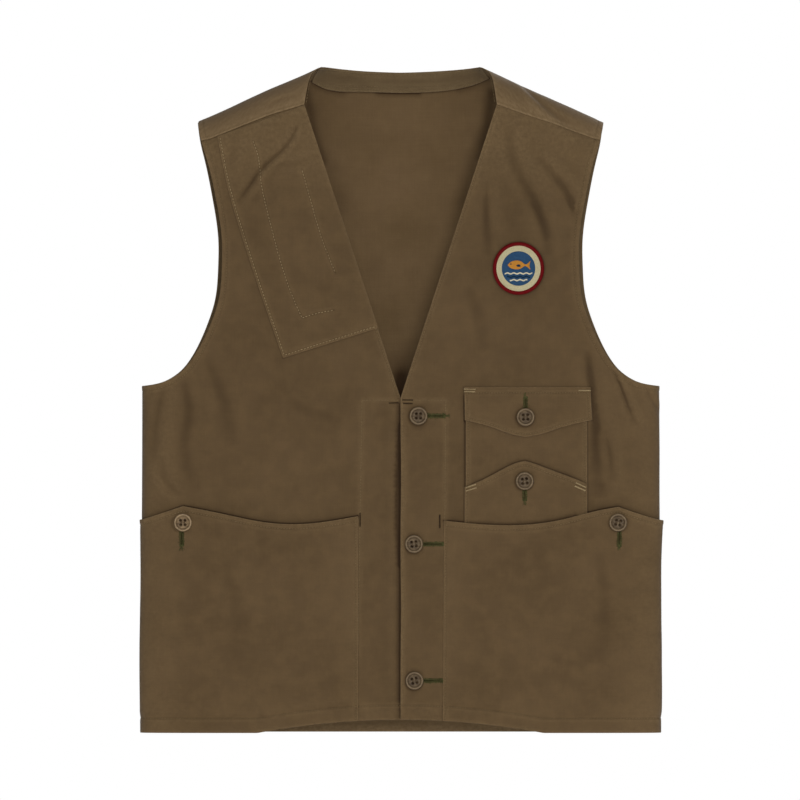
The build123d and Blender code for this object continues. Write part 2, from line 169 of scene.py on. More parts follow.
def beside(path, amount):
    """A path moved to its left by amount."""
    t = np.gradient(path, axis=0)
    t /= np.hypot(*t.T)[:, None]
    return path + amount * np.c_[-t[:, 1], t[:, 0]]


def along(path):
    """The distance along a path to each of its points."""
    return np.r_[0, np.cumsum(np.hypot(*np.diff(path, axis=0).T))]


def at_lengths(path, lengths):
    """The points at those distances along a path."""
    s = along(path)
    return np.c_[np.interp(lengths, s, path[:, 0]), np.interp(lengths, s, path[:, 1])]


def twice_area(loop):
    """Twice the area inside a loop, below zero where it runs clockwise."""
    return np.sum(loop[:, 0] * np.roll(loop[:, 1], -1) - np.roll(loop[:, 0], -1) * loop[:, 1])


def upright(x, low, high):
    return line([(x, low), (x, high)])


def inside(u, v, outline):
    """True where a point is inside a closed outline."""
    a, b = outline, np.roll(outline, -1, axis=0)
    found = np.zeros(len(u), bool)
    for (x0, y0), (x1, y1) in zip(a, b):
        if y0 != y1:
            found ^= ((y0 > v) != (y1 > v)) & (u < (x1 - x0) * (v - y0) / (y1 - y0) + x0)
    return found


def noise(u, v, size, seed):
    """Smooth random hills of about that size, between -1 and 1."""
    table = np.random.RandomState(seed).uniform(-1.6, 1.6, (61, 67))
    a, b = np.asarray(u) / size + 30, np.asarray(v) / size + 30
    i, j = np.floor(a).astype(int), np.floor(b).astype(int)
    f, g = a - i, b - j

    def taps(t):
        return ((1 - t) ** 3 / 6, (3 * t**3 - 6 * t**2 + 4) / 6,
                (-3 * t**3 + 3 * t**2 + 3 * t + 1) / 6, t**3 / 6)

    total = 0
    for k, p in enumerate(taps(f)):
        for m, q in enumerate(taps(g)):
            total = total + p * q * table[(i + k) % 61, (j + m) % 67]
    return total


class Paths:
    """Finds how far points are from some paths, and where along them."""

    def __init__(self, paths, step=0.6):
        rows, offset = [], 0.0
        for path in paths:
            s = along(path)
            q = np.linspace(0, s[-1], max(2, int(s[-1] / step)))
            rows.append(np.c_[at_lengths(path, q), q + offset])
            offset += s[-1] + 50
        self.rows = np.vstack(rows) if rows else np.zeros((0, 3))
        self.tree = KDTree(len(self.rows))
        for k, (a, b, _) in enumerate(self.rows):
            self.tree.insert((a, b, 0), k)
        self.tree.balance()

    def near(self, u, v):
        if not len(self.rows):
            return np.full(len(u), 1e3), np.zeros(len(u))
        found = [self.tree.find((a, b, 0))[1:] for a, b in zip(u, v)]
        index = np.array([k for k, _ in found])
        return np.array([d for _, d in found]), self.rows[index, 2]


# ---- the shape of the body ----

_t = np.linspace(0, 1, 6001)
_angle = math.pi / 2 * _t**3 / (_t**3 + (1 - _t) ** 3)
_plan_x = HALF_WIDE * np.sin(_angle) ** (1 / 3)
_plan_y = np.cos(_angle) ** (1 / 3)
_plan_s = np.r_[0, np.cumsum(np.hypot(np.diff(_plan_x), np.diff(_plan_y) * DEEP))]
SIDE = _plan_s[-1]


def ridge(x):
    """Height of the top of the shoulders."""
    return HEM + (NECK - np.abs(x)) * SLOPE + 2.0 * smooth((-x - 95) / 50)


def turn_at(u):
    """The v at which the cloth comes over the top of the shoulders."""
    return ridge(np.interp(np.abs(u), _plan_s, _plan_x)) + RIDGE_TURN


def base(u, v, face):
    """Points on the inner face of the body in mm. Its sides bulge a little, more towards the hem."""
    x = np.sign(u) * np.interp(np.abs(u), _plan_s, _plan_x)
    deep = DEEP * np.interp(np.abs(u), _plan_s, _plan_y) - np.maximum(np.abs(u) - SIDE, 0)
    top = ridge(x)
    x = x * (1 + (2.6 + 1.2 * smooth((360 - v) / 330)) * (np.abs(x) / HALF_WIDE) ** 6 / HALF_WIDE)
    s = top + RIDGE_TURN - v
    bend = np.clip(np.abs(s) / DEEP, 0, math.pi / 2)
    drop = DEEP * (1 - np.cos(bend)) + np.maximum(np.abs(s) - DEEP * math.pi / 2, 0)
    return np.stack([x, -face * np.sign(s) * deep * np.sin(bend), top - drop - HEM], -1)


def outward(u, v, face):
    e = 0.3
    a = base(u + e, v, face) - base(u - e, v, face)
    b = base(u, v + e, face) - base(u, v - e, face)
    n = face * np.cross(a, b)
    return n / np.maximum(np.linalg.norm(n, axis=-1, keepdims=True), 1e-9)


def place(u, v, out, face=1):
    """Points in the frame, in metres."""
    u, v = np.asarray(u, float), np.asarray(v, float)
    return (base(u, v, face) + outward(u, v, face) * np.asarray(out)[..., None]) / 1000


def flat(points, over=False):
    """Points of x and height as u and v. over is for the back's cloth that has come over the shoulder."""
    p = np.array(points, float)
    x, h = p[:, 0], p[:, 1]
    u = np.sign(x) * np.interp(np.abs(x), _plan_x, _plan_s)
    drop = np.maximum(ridge(x) - h, 0)
    s = np.where(drop < DEEP, DEEP * np.arccos(np.clip(1 - drop / DEEP, -1, 1)), drop + RIDGE_TURN)
    return np.c_[u, ridge(x) + RIDGE_TURN + (s if over else -s)]


# ---- how the cloth lies: folds and waves, as distances out ----

# each crease: points, depth of its valley, its width, a ridge beside it (+ to the left of its direction)
# and on which side, and how dark the shade painted along it is
CREASES = [
    ([(-106, 642), (-119, 618), (-144, 594), (-157, 577), (-172, 556)], 2.3, 2.4, 2.0, 1, 0.27),
    ([(-140, 594), (-112, 599), (-86, 607)], 0.7, 3.0, 0.5, 1, 0.06),
    ([(-108, 668), (-124, 664), (-139, 655)], 0.8, 2.2, 0.5, -1, 0.10),
    ([(-170, 640), (-176, 610), (-184, 570)], 0.5, 5.0, 0.5, 1, 0.015),
    ([(114, 640), (117, 606), (131, 576), (147, 549), (158, 518)], 2.0, 7.0, 1.7, 1, 0.06),
    ([(144, 606), (158, 590), (172, 572), (183, 548), (189, 528)], 2.0, 5.0, 1.7, 1, 0.06),
    ([(123, 684), (146, 662), (170, 643), (190, 629)], 1.9, 4.4, 1.6, -1, 0.20),
    ([(137, 560), (150, 530), (157, 500)], 0.8, 6.0, 0.7, 1, 0.05),
    ([(91, 580), (90, 545), (93, 500)], 1.0, 6.0, 0.8, 1, 0.06),
    ([(196, 402), (202, 350), (207, 300), (212, 245)], 2.2, 7.5, 1.8, 1, 0.06),
    ([(221, 384), (229, 368), (238, 344), (246, 322)], 1.8, 2.4, 1.3, 1, 0.22),
    ([(214, 320), (220, 290), (222, 262)], 1.0, 4.5, 0.7, -1, 0.07),
    ([(254, 366), (262, 350), (268, 330)], 1.2, 3.0, 0.8, 1, 0.16),
    ([(-232, 380), (-222, 345), (-226, 300), (-214, 250)], 1.4, 9.0, 1.2, -1, 0.05),
    ([(-206, 398), (-186, 350), (-176, 300)], 1.2, 10.0, 1.0, -1, 0.04),
    ([(-246, 366), (-254, 330), (-258, 280)], 1.2, 6.0, 0.9, 1, 0.05),
    ([(-228, 248), (-243, 262), (-250, 290)], 1.0, 4.0, 0.6, 1, 0.07),
    ([(-120, 350), (-92, 336), (-60, 330)], 0.7, 9.0, 0.6, 1, 0.02),
    ([(-190, 180), (-170, 120), (-176, 60)], 1.1, 14.0, 0.8, 1, 0.02),
    ([(208, 190), (214, 130), (206, 70)], 1.1, 12.0, 0.9, -1, 0.03),
    ([(70, 470), (82, 440), (88, 400)], 0.9, 10.0, 0.7, 1, 0.03),
]

BACK_CREASES = [
    ([(-196, 556), (-176, 528), (-160, 488)], 1.9, 6.0, 1.5, 1, 0.06),
    ([(194, 545), (172, 520), (150, 498)], 1.7, 5.5, 1.4, -1, 0.06),
    ([(-214, 388), (-190, 348), (-178, 286)], 2.3, 8.0, 1.8, 1, 0.06),
    ([(222, 384), (206, 338), (196, 276)], 2.1, 7.0, 1.7, -1, 0.06),
    ([(-244, 350), (-234, 300), (-238, 246)], 1.5, 6.0, 1.2, 1, 0.05),
    ([(242, 338), (230, 290), (236, 232)], 1.6, 6.0, 1.3, -1, 0.05),
    ([(-130, 306), (-66, 272), (18, 262)], 1.6, 12.0, 1.4, 1, 0.03),
    ([(144, 244), (84, 216), (8, 205)], 1.5, 12.0, 1.3, -1, 0.03),
    ([(-184, 168), (-160, 104), (-168, 38)], 1.8, 12.0, 1.5, 1, 0.03),
    ([(178, 154), (162, 92), (172, 30)], 1.8, 12.0, 1.5, -1, 0.03),
    ([(-30, 150), (-18, 96), (-26, 40)], 1.4, 14.0, 1.2, 1, 0.02),
]


def crease(u, v, points, depth, wide, swell, side, dark):
    """The height of the cloth at a crease, and the shade painted along it, with painted light beside it on
    its ridge.
    """
    path = curve(flat(points), 3.0)
    s = along(path)
    total, shade = np.zeros_like(u), np.zeros_like(u)
    reach = np.hypot(np.ptp(path[:, 0]), np.ptp(path[:, 1])) / 2 + 5 * wide
    mid = path.mean(0)
    near = (np.abs(u - mid[0]) < reach + 5 * wide) & (np.abs(v - mid[1]) < reach + 5 * wide)
    if not near.any():
        return total, shade
    a, b = u[near], v[near]
    p, q = path[:-1], np.diff(path, axis=0)
    length = np.maximum((q**2).sum(1), 1e-9)
    t = np.clip(((a[:, None] - p[:, 0]) * q[:, 0] + (b[:, None] - p[:, 1]) * q[:, 1]) / length, 0, 1)
    dx, dy = a[:, None] - p[:, 0] - t * q[:, 0], b[:, None] - p[:, 1] - t * q[:, 1]
    d2 = dx**2 + dy**2
    k = d2.argmin(1)
    r = np.arange(len(a))
    d = np.sqrt(d2[r, k]) * np.sign(q[k, 0] * dy[r, k] - q[k, 1] * dx[r, k] + 1e-12)
    share = (s[k] + t[r, k] * np.sqrt(length[k])) / s[-1]
    fade = np.sin(np.pi * np.clip(share, 0, 1)) ** 0.6
    wide = wide * (0.7 + 0.6 * share)
    total[near] = fade * (-depth * hill(d / wide) + swell * hill((d - side * 2.1 * wide) / (1.5 * wide)))
    away = d * side
    slope = wide * np.where(away > 0, 0.5, 2.0) * (1 + 0.35 * noise(a, b, 14, 31))
    shade[near] = fade * dark * (1 + 0.5 * noise(a, b, 18, 30)) * (
        hill(d / slope) - 0.75 * hill((away - 1.8 * wide) / (1.1 * wide)))
    return total, shade


# the narrow creases, where the mesh is made finer
SHARP = [curve(flat(row[0]), 1.6) for row in CREASES if row[2] < 4.2]


def seam_fade(u):
    """Folds die out towards the side seams, where front and back are sewn together."""
    return smooth((SIDE - np.abs(u)) / 30)


def drape(u, v):
    """How far the cloth of the fronts stands out from the body, shared by all that lies on it."""
    u, v = np.asarray(u, float).ravel(), np.asarray(v, float).ravel()
    total = (1.5 * noise(u, v, 120, 1) + 1.0 * noise(u * 1.4, v * 0.8, 55, 2)
             + 0.35 * noise(u, v, 24, 3) + 0.10 * noise(u, v, 9, 4))
    for row in CREASES:
        total = total + crease(u, v, *row)[0]
    for x, h in [*FRONT_BUTTONS, FLAP_BUTTON, CHEST_BUTTON, *POCKET_BUTTONS.values()]:
        total = total - 0.5 * np.exp(-((u - x) ** 2 + (v - h) ** 2) / 12**2)
    return total * seam_fade(u)


def crease_shade(u, v, rows=CREASES):
    """The shade painted along the creases, with painted light beside them."""
    return sum(crease(u, v, *row)[1] for row in rows)


def drape_back(u, v):
    """The same for the back panel, whose shoulders come over to the front."""
    u, v = np.asarray(u, float).ravel(), np.asarray(v, float).ravel()
    turn = turn_at(u)
    own = (2.2 * noise(u, v, 130, 11) + 1.1 * noise(u * 1.5, v * 0.7, 60, 12)
           + 0.35 * noise(u, v, 26, 13) + 0.10 * noise(u, v, 9, 14)
           + sum(crease(u, v, *row)[0] for row in BACK_CREASES)) * seam_fade(u)
    front = drape(u, turn - np.abs(v - turn))
    share = smooth((v - turn + 25) / 40)
    return own * (1 - share) + front * share


def grooves(paths, deep=0.35, wide=1.0, pucker=0.16, seed=5):
    """Sewn lines pull the cloth down, and it puckers beside them."""
    found = Paths(paths)

    def shape(u, v):
        d, s = found.near(u, v)
        ripple = noise(s, d * 0.6, 5.5, seed) + 0.6 * noise(s, d * 0.4, 11, seed + 1)
        return -deep * hill(d / wide) + pucker * ripple * hill(d / 4.5)

    return shape


# ---- meshes ----

def added(name, data):
    """A new object in the scene."""
    obj = bpy.data.objects.new(name, data)
    bpy.context.scene.collection.objects.link(obj)
    return obj


def build(name, verts, faces, material, flat_at=None, wear_and_painted_light=None):
    """A mesh object from arrays of points and triangles."""
    mesh = bpy.data.meshes.new(name)
    faces = np.asarray(faces, np.int32)
    mesh.vertices.add(len(verts))
    mesh.vertices.foreach_set("co", np.asarray(verts, np.float32).ravel())
    mesh.loops.add(faces.size)
    mesh.loops.foreach_set("vertex_index", faces.ravel())
    mesh.polygons.add(len(faces))
    mesh.polygons.foreach_set("loop_start", np.arange(0, faces.size, 3, dtype=np.int32))
    mesh.polygons.foreach_set("use_smooth", np.ones(len(faces), bool))
    mesh.update(calc_edges=True)
    if flat_at is not None:
        mesh.attributes.new("flat", "FLOAT_VECTOR", "POINT").data.foreach_set(
            "vector", (np.c_[flat_at, np.zeros(len(flat_at))] / 1000).astype(np.float32).ravel())
    # a point attribute for pale and dark cloth: wear, painted light and painted shade
    if wear_and_painted_light is not None:
        mesh.attributes.new("wear_and_painted_light", "FLOAT", "POINT").data.foreach_set("value", wear_and_painted_light.astype(np.float32))
    mesh.materials.append(material)
    return added(name, mesh)


def spaced(kept, points, gap):
    """Points of a new group that keep a distance from all those kept so far."""
    if not len(points):
        return points
    tree = KDTree(len(kept))
    for k, (a, b) in enumerate(kept):
        tree.insert((a, b, 0), k)
    tree.balance()
    far = np.array([tree.find((a, b, 0))[2] > gap for a, b in points])
    return points[far]


def triangles(outline, holes, lines, step, rim, fine=0.9, traces=()):
    """Points and triangles that fill an outline, closer together at its edges and along sewn lines."""
    loops = [outline, *holes]
    edges, total = [], 0
    for loop in loops:
        n = len(loop)
        edges += [(total + i, total + (i + 1) % n) for i in range(n)]
        total += n
    points = np.vstack(loops)
    turn = np.sign(twice_area(outline))

    def within(p):
        ok = inside(p[:, 0], p[:, 1], outline)
        for hole in holes:
            ok &= ~inside(p[:, 0], p[:, 1], hole)
        return p[ok]

    for amount in (rim * 0.15, rim * 0.5, rim):
        rings = []
        for k, loop in enumerate(loops):
            t = np.roll(loop, -1, axis=0) - np.roll(loop, 1, axis=0)
            t /= np.maximum(np.hypot(*t.T), 1e-9)[:, None]
            way = turn if k == 0 else -np.sign(twice_area(loop))
            rings.append(loop + way * amount * np.c_[-t[:, 1], t[:, 0]])
        points = np.vstack([points, spaced(points, within(np.vstack(rings)), min(amount * 0.8, rim * 0.3))])
    if len(lines) or len(traces):
        close = []
        for path in [*lines, *traces]:
            length = along(path)[-1]
            even = at_lengths(path, np.linspace(0, length, max(2, int(length / 2.0))))
            close += [beside(even, k * fine) for k in (0, 1, -1, 2.2, -2.2)] if len(even) > 2 else [even]
        points = np.vstack([points, spaced(points, within(np.vstack(close)), fine * 0.55)])
    low, high = outline.min(0), outline.max(0)
    rows = np.arange(low[1], high[1], step * 0.87)
    columns = [np.arange(low[0] + (k % 2) * step / 2, high[0], step) for k in range(len(rows))]
    grid = np.vstack([np.c_[x, np.full(len(x), r)] for x, r in zip(columns, rows)])
    points = np.vstack([points, spaced(points, within(grid), step * 0.55)])
    first = [list(range(len(outline)))]
    verts, _, tris, *_ = delaunay_2d_cdt([Vector(p) for p in points], edges, first, 1, 1e-6, False)
    verts, tris = np.array([tuple(p) for p in verts]), np.array([t for t in tris if len(t) == 3])
    mid = verts[tris].mean(1)
    keep = inside(mid[:, 0], mid[:, 1], outline)
    for hole in holes:
        keep &= ~inside(mid[:, 0], mid[:, 1], hole)
    tris = tris[keep]
    a, b, c = (verts[tris[:, k]] for k in range(3))
    back = (b[:, 0] - a[:, 0]) * (c[:, 1] - a[:, 1]) - (b[:, 1] - a[:, 1]) * (c[:, 0] - a[:, 0]) < 0
    tris[back] = tris[back][:, ::-1]
    return verts, tris


def edges_of(tris):
    return np.vstack([tris[:, [0, 1]], tris[:, [1, 2]], tris[:, [2, 0]]])


def boundary(tris):
    """Numbers of the points on a mesh's open edges."""
    e = edges_of(tris)
    e.sort(axis=1)
    pairs, count = np.unique(e, axis=0, return_counts=True)
    return np.unique(pairs[count == 1])


def hollows(height, tris, rounds=4):
    """How far each point lies below the points around it."""
    e = edges_of(tris)
    level, count = height.copy(), np.bincount(e.ravel(), minlength=len(height)) + 1.0
    for _ in range(rounds):
        total = level.copy()
        np.add.at(total, e[:, 0], level[e[:, 1]])
        np.add.at(total, e[:, 1], level[e[:, 0]])
        level = total / count
    return level - height


def sheet(name, outline, top, material, thick=0.8, face=1, holes=(), lines=(), step=3.2, rim=0.8, worn_and_lit=1.0,
          traces=(), shades=(), low_shades=()):
    """A piece of cloth: a closed mesh with rounded edges. top(u, v) is the distance out of its outer side.

    lines are sewn, and traces only bring points closer together. shades are bands of painted shade on its
    outer side
    and low_shades on its inner side: path, width and strength. Where a strength is below 0, the band is
    painted light.
    """
    outline = np.asarray(outline, float)
    keep = np.r_[True, np.hypot(*np.diff(outline, axis=0).T) > 0.02]
    outline = outline[keep]
    if np.hypot(*(outline[0] - outline[-1])) < 0.02:
        outline = outline[:-1]
    edges_near = [path for path, wide, _ in [*shades, *low_shades] if wide < 4]
    verts, tris = triangles(outline, list(holes), list(lines), step, rim, traces=[*traces, *edges_near])
    u, v = verts.T
    edge = Paths([np.vstack([loop, loop[:1]]) for loop in [outline, *holes]], 0.4)
    d, _ = edge.near(u, v)
    rim_points = boundary(tris)
    d[rim_points] = 0
    out = top(u, v)
    full = thick(u, v) if callable(thick) else np.full(len(u), float(thick))
    half = full / 2 * np.sqrt(1 - (1 - np.clip(d / rim, 0, 1)) ** 2)
    middle = out - full / 2
    upper, lower = place(u, v, middle + half, face), place(u, v, middle - half, face)
    number = np.arange(len(u)) + len(u)
    number[rim_points] = rim_points
    both = np.vstack([upper, lower])
    faces = np.vstack([tris, number[tris][:, ::-1]])
    used, back = np.unique(faces, return_inverse=True)
    faces = back.reshape(faces.shape)
    if face < 0:
        faces = faces[:, ::-1]
    # above 0 the value shows as pale cloth and below 0 as dark cloth: painted light and shade, and at the
    # edges wear together with a painted highlight
    wear_and_painted_light = worn_and_lit * (0.95 * np.exp(-d / 1.1) + 0.25 * np.exp(-d / 5))
    # a painted highlight beside each sewn line
    if len(lines):
        near, _ = Paths(list(lines)).near(u, v)
        wear_and_painted_light = wear_and_painted_light + 0.4 * worn_and_lit * hill((near - 1.6) / 0.9)
    # painted shade in the hollows and painted light on the ridges
    wear_and_painted_light = wear_and_painted_light - np.clip(hollows(out, tris) * 1.1, -0.25, 0.5)
    # painted light: the cloth is paler towards the sides and over the tops of the shoulders
    painted_light_top_and_sides = 0.45 * smooth((np.abs(u) - 205) / 60) + 0.9 * smooth((v - 540) / 90)
    turn = turn_at(u)
    # painted shade along the creases; where the back's cloth has come over the shoulder, it takes the fronts'
    # creases as well
    if face > 0:
        wear_and_painted_light = wear_and_painted_light - crease_shade(u, v)
    elif (v > turn).any():
        wear_and_painted_light = wear_and_painted_light - smooth((v - turn) / 6) * crease_shade(u, 2 * turn - v) - crease_shade(u, v, BACK_CREASES)

    # painted shade in bands, or painted light where a band's strength is below 0
    def darker(bands):
        return sum((strength * hill(Paths([path]).near(u, v)[0] / wide) for path, wide, strength in bands),
                   np.zeros(len(u)))

    upper_wear_and_painted_light, lower_wear_and_painted_light = wear_and_painted_light + painted_light_top_and_sides - darker(shades), wear_and_painted_light - darker(low_shades)
    obj = build(name, both[used], faces, material, np.vstack([verts, verts])[used],
                np.r_[upper_wear_and_painted_light, lower_wear_and_painted_light][used])
    wide, tall = np.ptp(outline, axis=0)
    round_it = np.sum(np.hypot(*(outline - np.roll(outline, 1, axis=0)).T))
    obj["cut"] = [float(wide), float(tall), abs(float(twice_area(outline) / 2)), float(round_it)]
    return obj


def tubes(points, radius, normals=None, sides=6, squash=1.0):
    """Closed tubes along many short paths. points is (paths, steps, 3) in metres."""
    points = np.asarray(points, float)
    n, k, _ = points.shape
    t = np.gradient(points, axis=1)
    t /= np.maximum(np.linalg.norm(t, axis=2, keepdims=True), 1e-12)
    if normals is None:
        up = np.where(np.abs(t[..., 1:2]) > 0.9, np.array([1.0, 0, 0]), np.array([0, -1.0, 0]))
    else:
        up = np.broadcast_to(normals, points.shape)
    side = np.cross(t, up)
    side /= np.maximum(np.linalg.norm(side, axis=2, keepdims=True), 1e-12)
    up = np.cross(side, t)
    radius = np.broadcast_to(np.asarray(radius, float), (n, k)) / 1000
    angle = np.arange(sides) * 2 * math.pi / sides
    ring = (side[:, :, None] * np.cos(angle)[:, None] + up[:, :, None] * np.sin(angle)[:, None] * squash)
    verts = (points[:, :, None] + ring * radius[:, :, None, None]).reshape(-1, 3)
    a, b = np.meshgrid(np.arange(k - 1), np.arange(sides), indexing="ij")
    c = (b + 1) % sides
    quads = np.stack([a * sides + b, a * sides + c, (a + 1) * sides + c, (a + 1) * sides + b], -1)
    quads = quads.reshape(-1, 4)
    one = np.vstack([quads[:, [0, 1, 2]], quads[:, [0, 2, 3]]])
    caps = [[0, i + 1, i] for i in range(1, sides - 1)]
    last = (k - 1) * sides
    caps += [[last, last + i, last + i + 1] for i in range(1, sides - 1)]
    one = np.vstack([one, caps])[:, ::-1]
    faces = (one[None] + (np.arange(n) * k * sides)[:, None, None]).reshape(-1, 3)
    return verts, faces


def threads(ends, surface, face=1, radius=0.26, arch=0.10, sink=0.22, steps=5, inward=False):
    """Short threads that lie on the cloth between pairs of points in u and v, or inward on its inner side."""
    ends = np.asarray(ends, float)
    if not len(ends):
        return np.zeros((0, 3)), np.zeros((0, 3), int)
    t = np.linspace(0, 1, steps)
    uv = ends[:, None, 0] + (ends[:, None, 1] - ends[:, None, 0]) * t[None, :, None]
    u, v = uv[..., 0].ravel(), uv[..., 1].ravel()
    hump = np.sin(math.pi * t) ** 0.5
    rise = 0 if inward else radius * 0.35
    out = surface(u, v).reshape(len(ends), steps) + rise - sink * (1 - hump) + arch * hump
    points = place(u, v, out.ravel(), face).reshape(len(ends), steps, 3)
    normals = outward(u, v, face).reshape(len(ends), steps, 3)
    width = radius * (0.55 + 0.45 * hump)
    return tubes(points, width[None], -normals if inward else normals, squash=1.0 if inward else 0.85)


def stitches(path, pitch=3.0, gap=0.7, seed=3, drift=0.10):
    """The ends of the stitches along a sewn line."""
    path = np.asarray(path, float)
    length = along(path)[-1]
    if length < pitch:
        return np.zeros((0, 2, 2))
    n = max(1, int(length / pitch))
    a = (np.arange(n) + 0.12) * length / n
    b = a + length / n - gap
    rng = np.random.RandomState(seed)
    ends = np.stack([at_lengths(path, a), at_lengths(path, b)], 1)
    return ends + rng.normal(0, drift, ends.shape)


def topstitch(paths, surface, face=1, radius=0.24, **spacing):
    """The stitches of several sewn lines."""
    return [threads(stitches(path, seed=k, **spacing), surface, face, radius) for k, path in enumerate(paths)]


def join(parts):
    verts, faces, total = [], [], 0
    for v, f in parts:
        verts.append(v)
        faces.append(np.asarray(f, int) + total)
        total += len(v)
    return np.vstack(verts), np.vstack(faces)


def circle(centre, radius, n=64, tall=1.0):
    a = np.arange(n) * 2 * math.pi / n
    return np.c_[centre[0] + radius * np.cos(a), centre[1] + tall * radius * np.sin(a)]


def slot(start, end, half, n=7):
    """The outline of a narrow slot between two points."""
    start, end = np.array(start, float), np.array(end, float)
    way = math.atan2(*(end - start)[::-1])
    a = way - math.pi / 2 + np.linspace(0, math.pi, n)
    b = a + math.pi
    cap = np.vstack([end + half * np.c_[np.cos(a), np.sin(a)], start + half * np.c_[np.cos(b), np.sin(b)]])
    return line(np.vstack([cap, cap[:1]]), 1.6)[:-1]


# ---- materials ----

def rgb(r, g, b):
    """A colour given as 0-255 on screen."""
    return tuple(((c / 255 + 0.055) / 1.055) ** 2.4 if c > 10 else c / 3294.6 for c in (r, g, b)) + (1.0,)


class Finish:
    """A material and its nodes."""

    def __init__(self, name, **shader):
        self.material = bpy.data.materials.new(name)
        self.material.use_nodes = True
        self.tree = self.material.node_tree
        self.shader = next(n for n in self.tree.nodes if n.type == "BSDF_PRINCIPLED")
        for key, value in shader.items():
            self.shader.inputs[key.replace("_", " ")].default_value = value

    def node(self, kind, inputs=(), **settings):
        n = self.tree.nodes.new(kind)
        for key, value in settings.items():
            setattr(n, key, value)
        for key, value in dict(inputs).items():
            if isinstance(value, bpy.types.NodeSocket):
                self.tree.links.new(value, n.inputs[key])
            else:
                n.inputs[key].default_value = value
        return n

    def attribute(self, name, output):
        return self.node("ShaderNodeAttribute", attribute_name=name).outputs[output]

    def maths(self, operation, a, b=None):
        inputs = {0: a} if b is None else {0: a, 1: b}
        return self.node("ShaderNodeMath", inputs, operation=operation).outputs[0]

    def noise(self, vector, scale, detail=2.0, rough=0.5):
        return self.node("ShaderNodeTexNoise", {"Vector": vector, "Scale": scale, "Detail": detail,
                                                "Roughness": rough}).outputs["Fac"]

    def mix(self, share, a, b):
        n = self.node("ShaderNodeMix", data_type="RGBA")
        for key, value in ((0, share), (6, a), (7, b)):
            if isinstance(value, bpy.types.NodeSocket):
                self.tree.links.new(value, n.inputs[key])
            else:
                n.inputs[key].default_value = value
        return n.outputs[2]

    def between(self, value, low, high, to_low=0.0, to_high=1.0):
        return self.node("ShaderNodeMapRange", {"Value": value, "From Min": low, "From Max": high,
                                                "To Min": to_low, "To Max": to_high}).outputs[0]

    def bump(self, height, distance, strength=1.0, normal=None):
        inputs = {"Height": height, "Distance": distance, "Strength": strength}
        if normal is not None:
            inputs["Normal"] = normal
        return self.node("ShaderNodeBump", inputs).outputs[0]

    def link(self, output, name):
        self.tree.links.new(output, self.shader.inputs[name])


def cloth(name, dark, mid, light, yarn=0.52, mottle=1.0, seed=0.0):
    """A plain woven cotton: yarns, slubs and a slight mottle, with worn edges and painted light where an
    attribute is above 0, and painted shade, as in creases, where it is below 0.
    """
    f = Finish(name, Sheen_Weight=0.05, Sheen_Roughness=0.5, Specular_IOR_Level=0.14)
    at = f.attribute("flat", "Vector")
    moved = f.node("ShaderNodeVectorMath", {0: at, 1: (seed, seed * 0.7, seed)}, operation="ADD").outputs[0]
    axes = f.node("ShaderNodeSeparateXYZ", {0: at})
    turn = math.pi / (yarn / 1000)
    warp = f.maths("SINE", f.maths("MULTIPLY", axes.outputs[0], turn))
    weft = f.maths("SINE", f.maths("MULTIPLY", axes.outputs[1], turn * 1.08))
    weave = f.maths("MULTIPLY", warp, weft)
    long_way = f.node("ShaderNodeMapping", {"Vector": moved, "Scale": (1500.0, 40.0, 1.0)}).outputs[0]
    cross_way = f.node("ShaderNodeMapping", {"Vector": moved, "Scale": (36.0, 1400.0, 1.0)}).outputs[0]
    slub = f.maths("ADD", f.noise(long_way, 1.0, 2.0), f.noise(cross_way, 1.0, 2.0))
    broad = f.noise(moved, 13.0, 3.0, 0.55)
    patchy = f.noise(moved, 62.0, 4.0, 0.6)
    grain = f.noise(moved, 900.0, 2.0, 0.7)
    colour = f.mix(f.between(broad, 0.35, 0.65), dark, mid)
    colour = f.mix(f.between(patchy, 0.42, 0.75, 0.0, 0.24 * mottle), colour, light)
    colour = f.mix(f.between(slub, 0.8, 1.25, 0.0, 0.10), colour, light)
    colour = f.mix(f.between(grain, 0.35, 0.65, 0.22, 0.0), colour, dark)
    # the point attribute: above 0, wear and painted light make the cloth paler; below 0, painted shade makes
    # it darker
    worn_and_lit = f.attribute("wear_and_painted_light", "Fac")
    uneven = f.noise(moved, 240.0, 3.0, 0.65)
    wear_and_painted_light = f.maths("MULTIPLY", f.maths("MAXIMUM", worn_and_lit, 0.0), f.between(uneven, 0.3, 0.7, 0.25, 1.0))
    colour = f.mix(f.maths("MULTIPLY", wear_and_painted_light, 0.60), colour, light)
    # the dark colour of painted shade
    deep = (dark[0] * 0.24, dark[1] * 0.18, dark[2] * 0.14, 1.0)
    colour = f.mix(f.between(worn_and_lit, -1.0, 0.0, 0.92, 0.0), colour, deep)
    f.link(colour, "Base Color")
    f.link(f.between(patchy, 0.3, 0.7, 0.80, 0.95), "Roughness")
    first = f.bump(f.noise(moved, 150.0, 4.0, 0.6), 0.0009, 0.30)
    second = f.bump(f.maths("ADD", weave, f.maths("MULTIPLY", slub, 0.8)), 0.00007, 0.45, first)
    f.link(second, "Normal")
    return f.material


def thread(name, colour, lighter):
    """Twisted thread."""
    f = Finish(name, Specular_IOR_Level=0.12, Roughness=0.7)
    at = f.node("ShaderNodeTexCoord").outputs["Object"]
    a = f.noise(at, 160.0, 3.0, 0.6)
    b = f.noise(at, 1400.0, 2.0, 0.6)
    shade = f.mix(f.between(a, 0.3, 0.7), colour, lighter)
    darkest = tuple(c * 0.55 for c in colour[:3]) + (1,)
    f.link(f.mix(f.between(b, 0.4, 0.7, 0.0, 0.45), shade, darkest), "Base Color")
    f.link(f.bump(b, 0.00012, 0.6), "Normal")
    return f.material


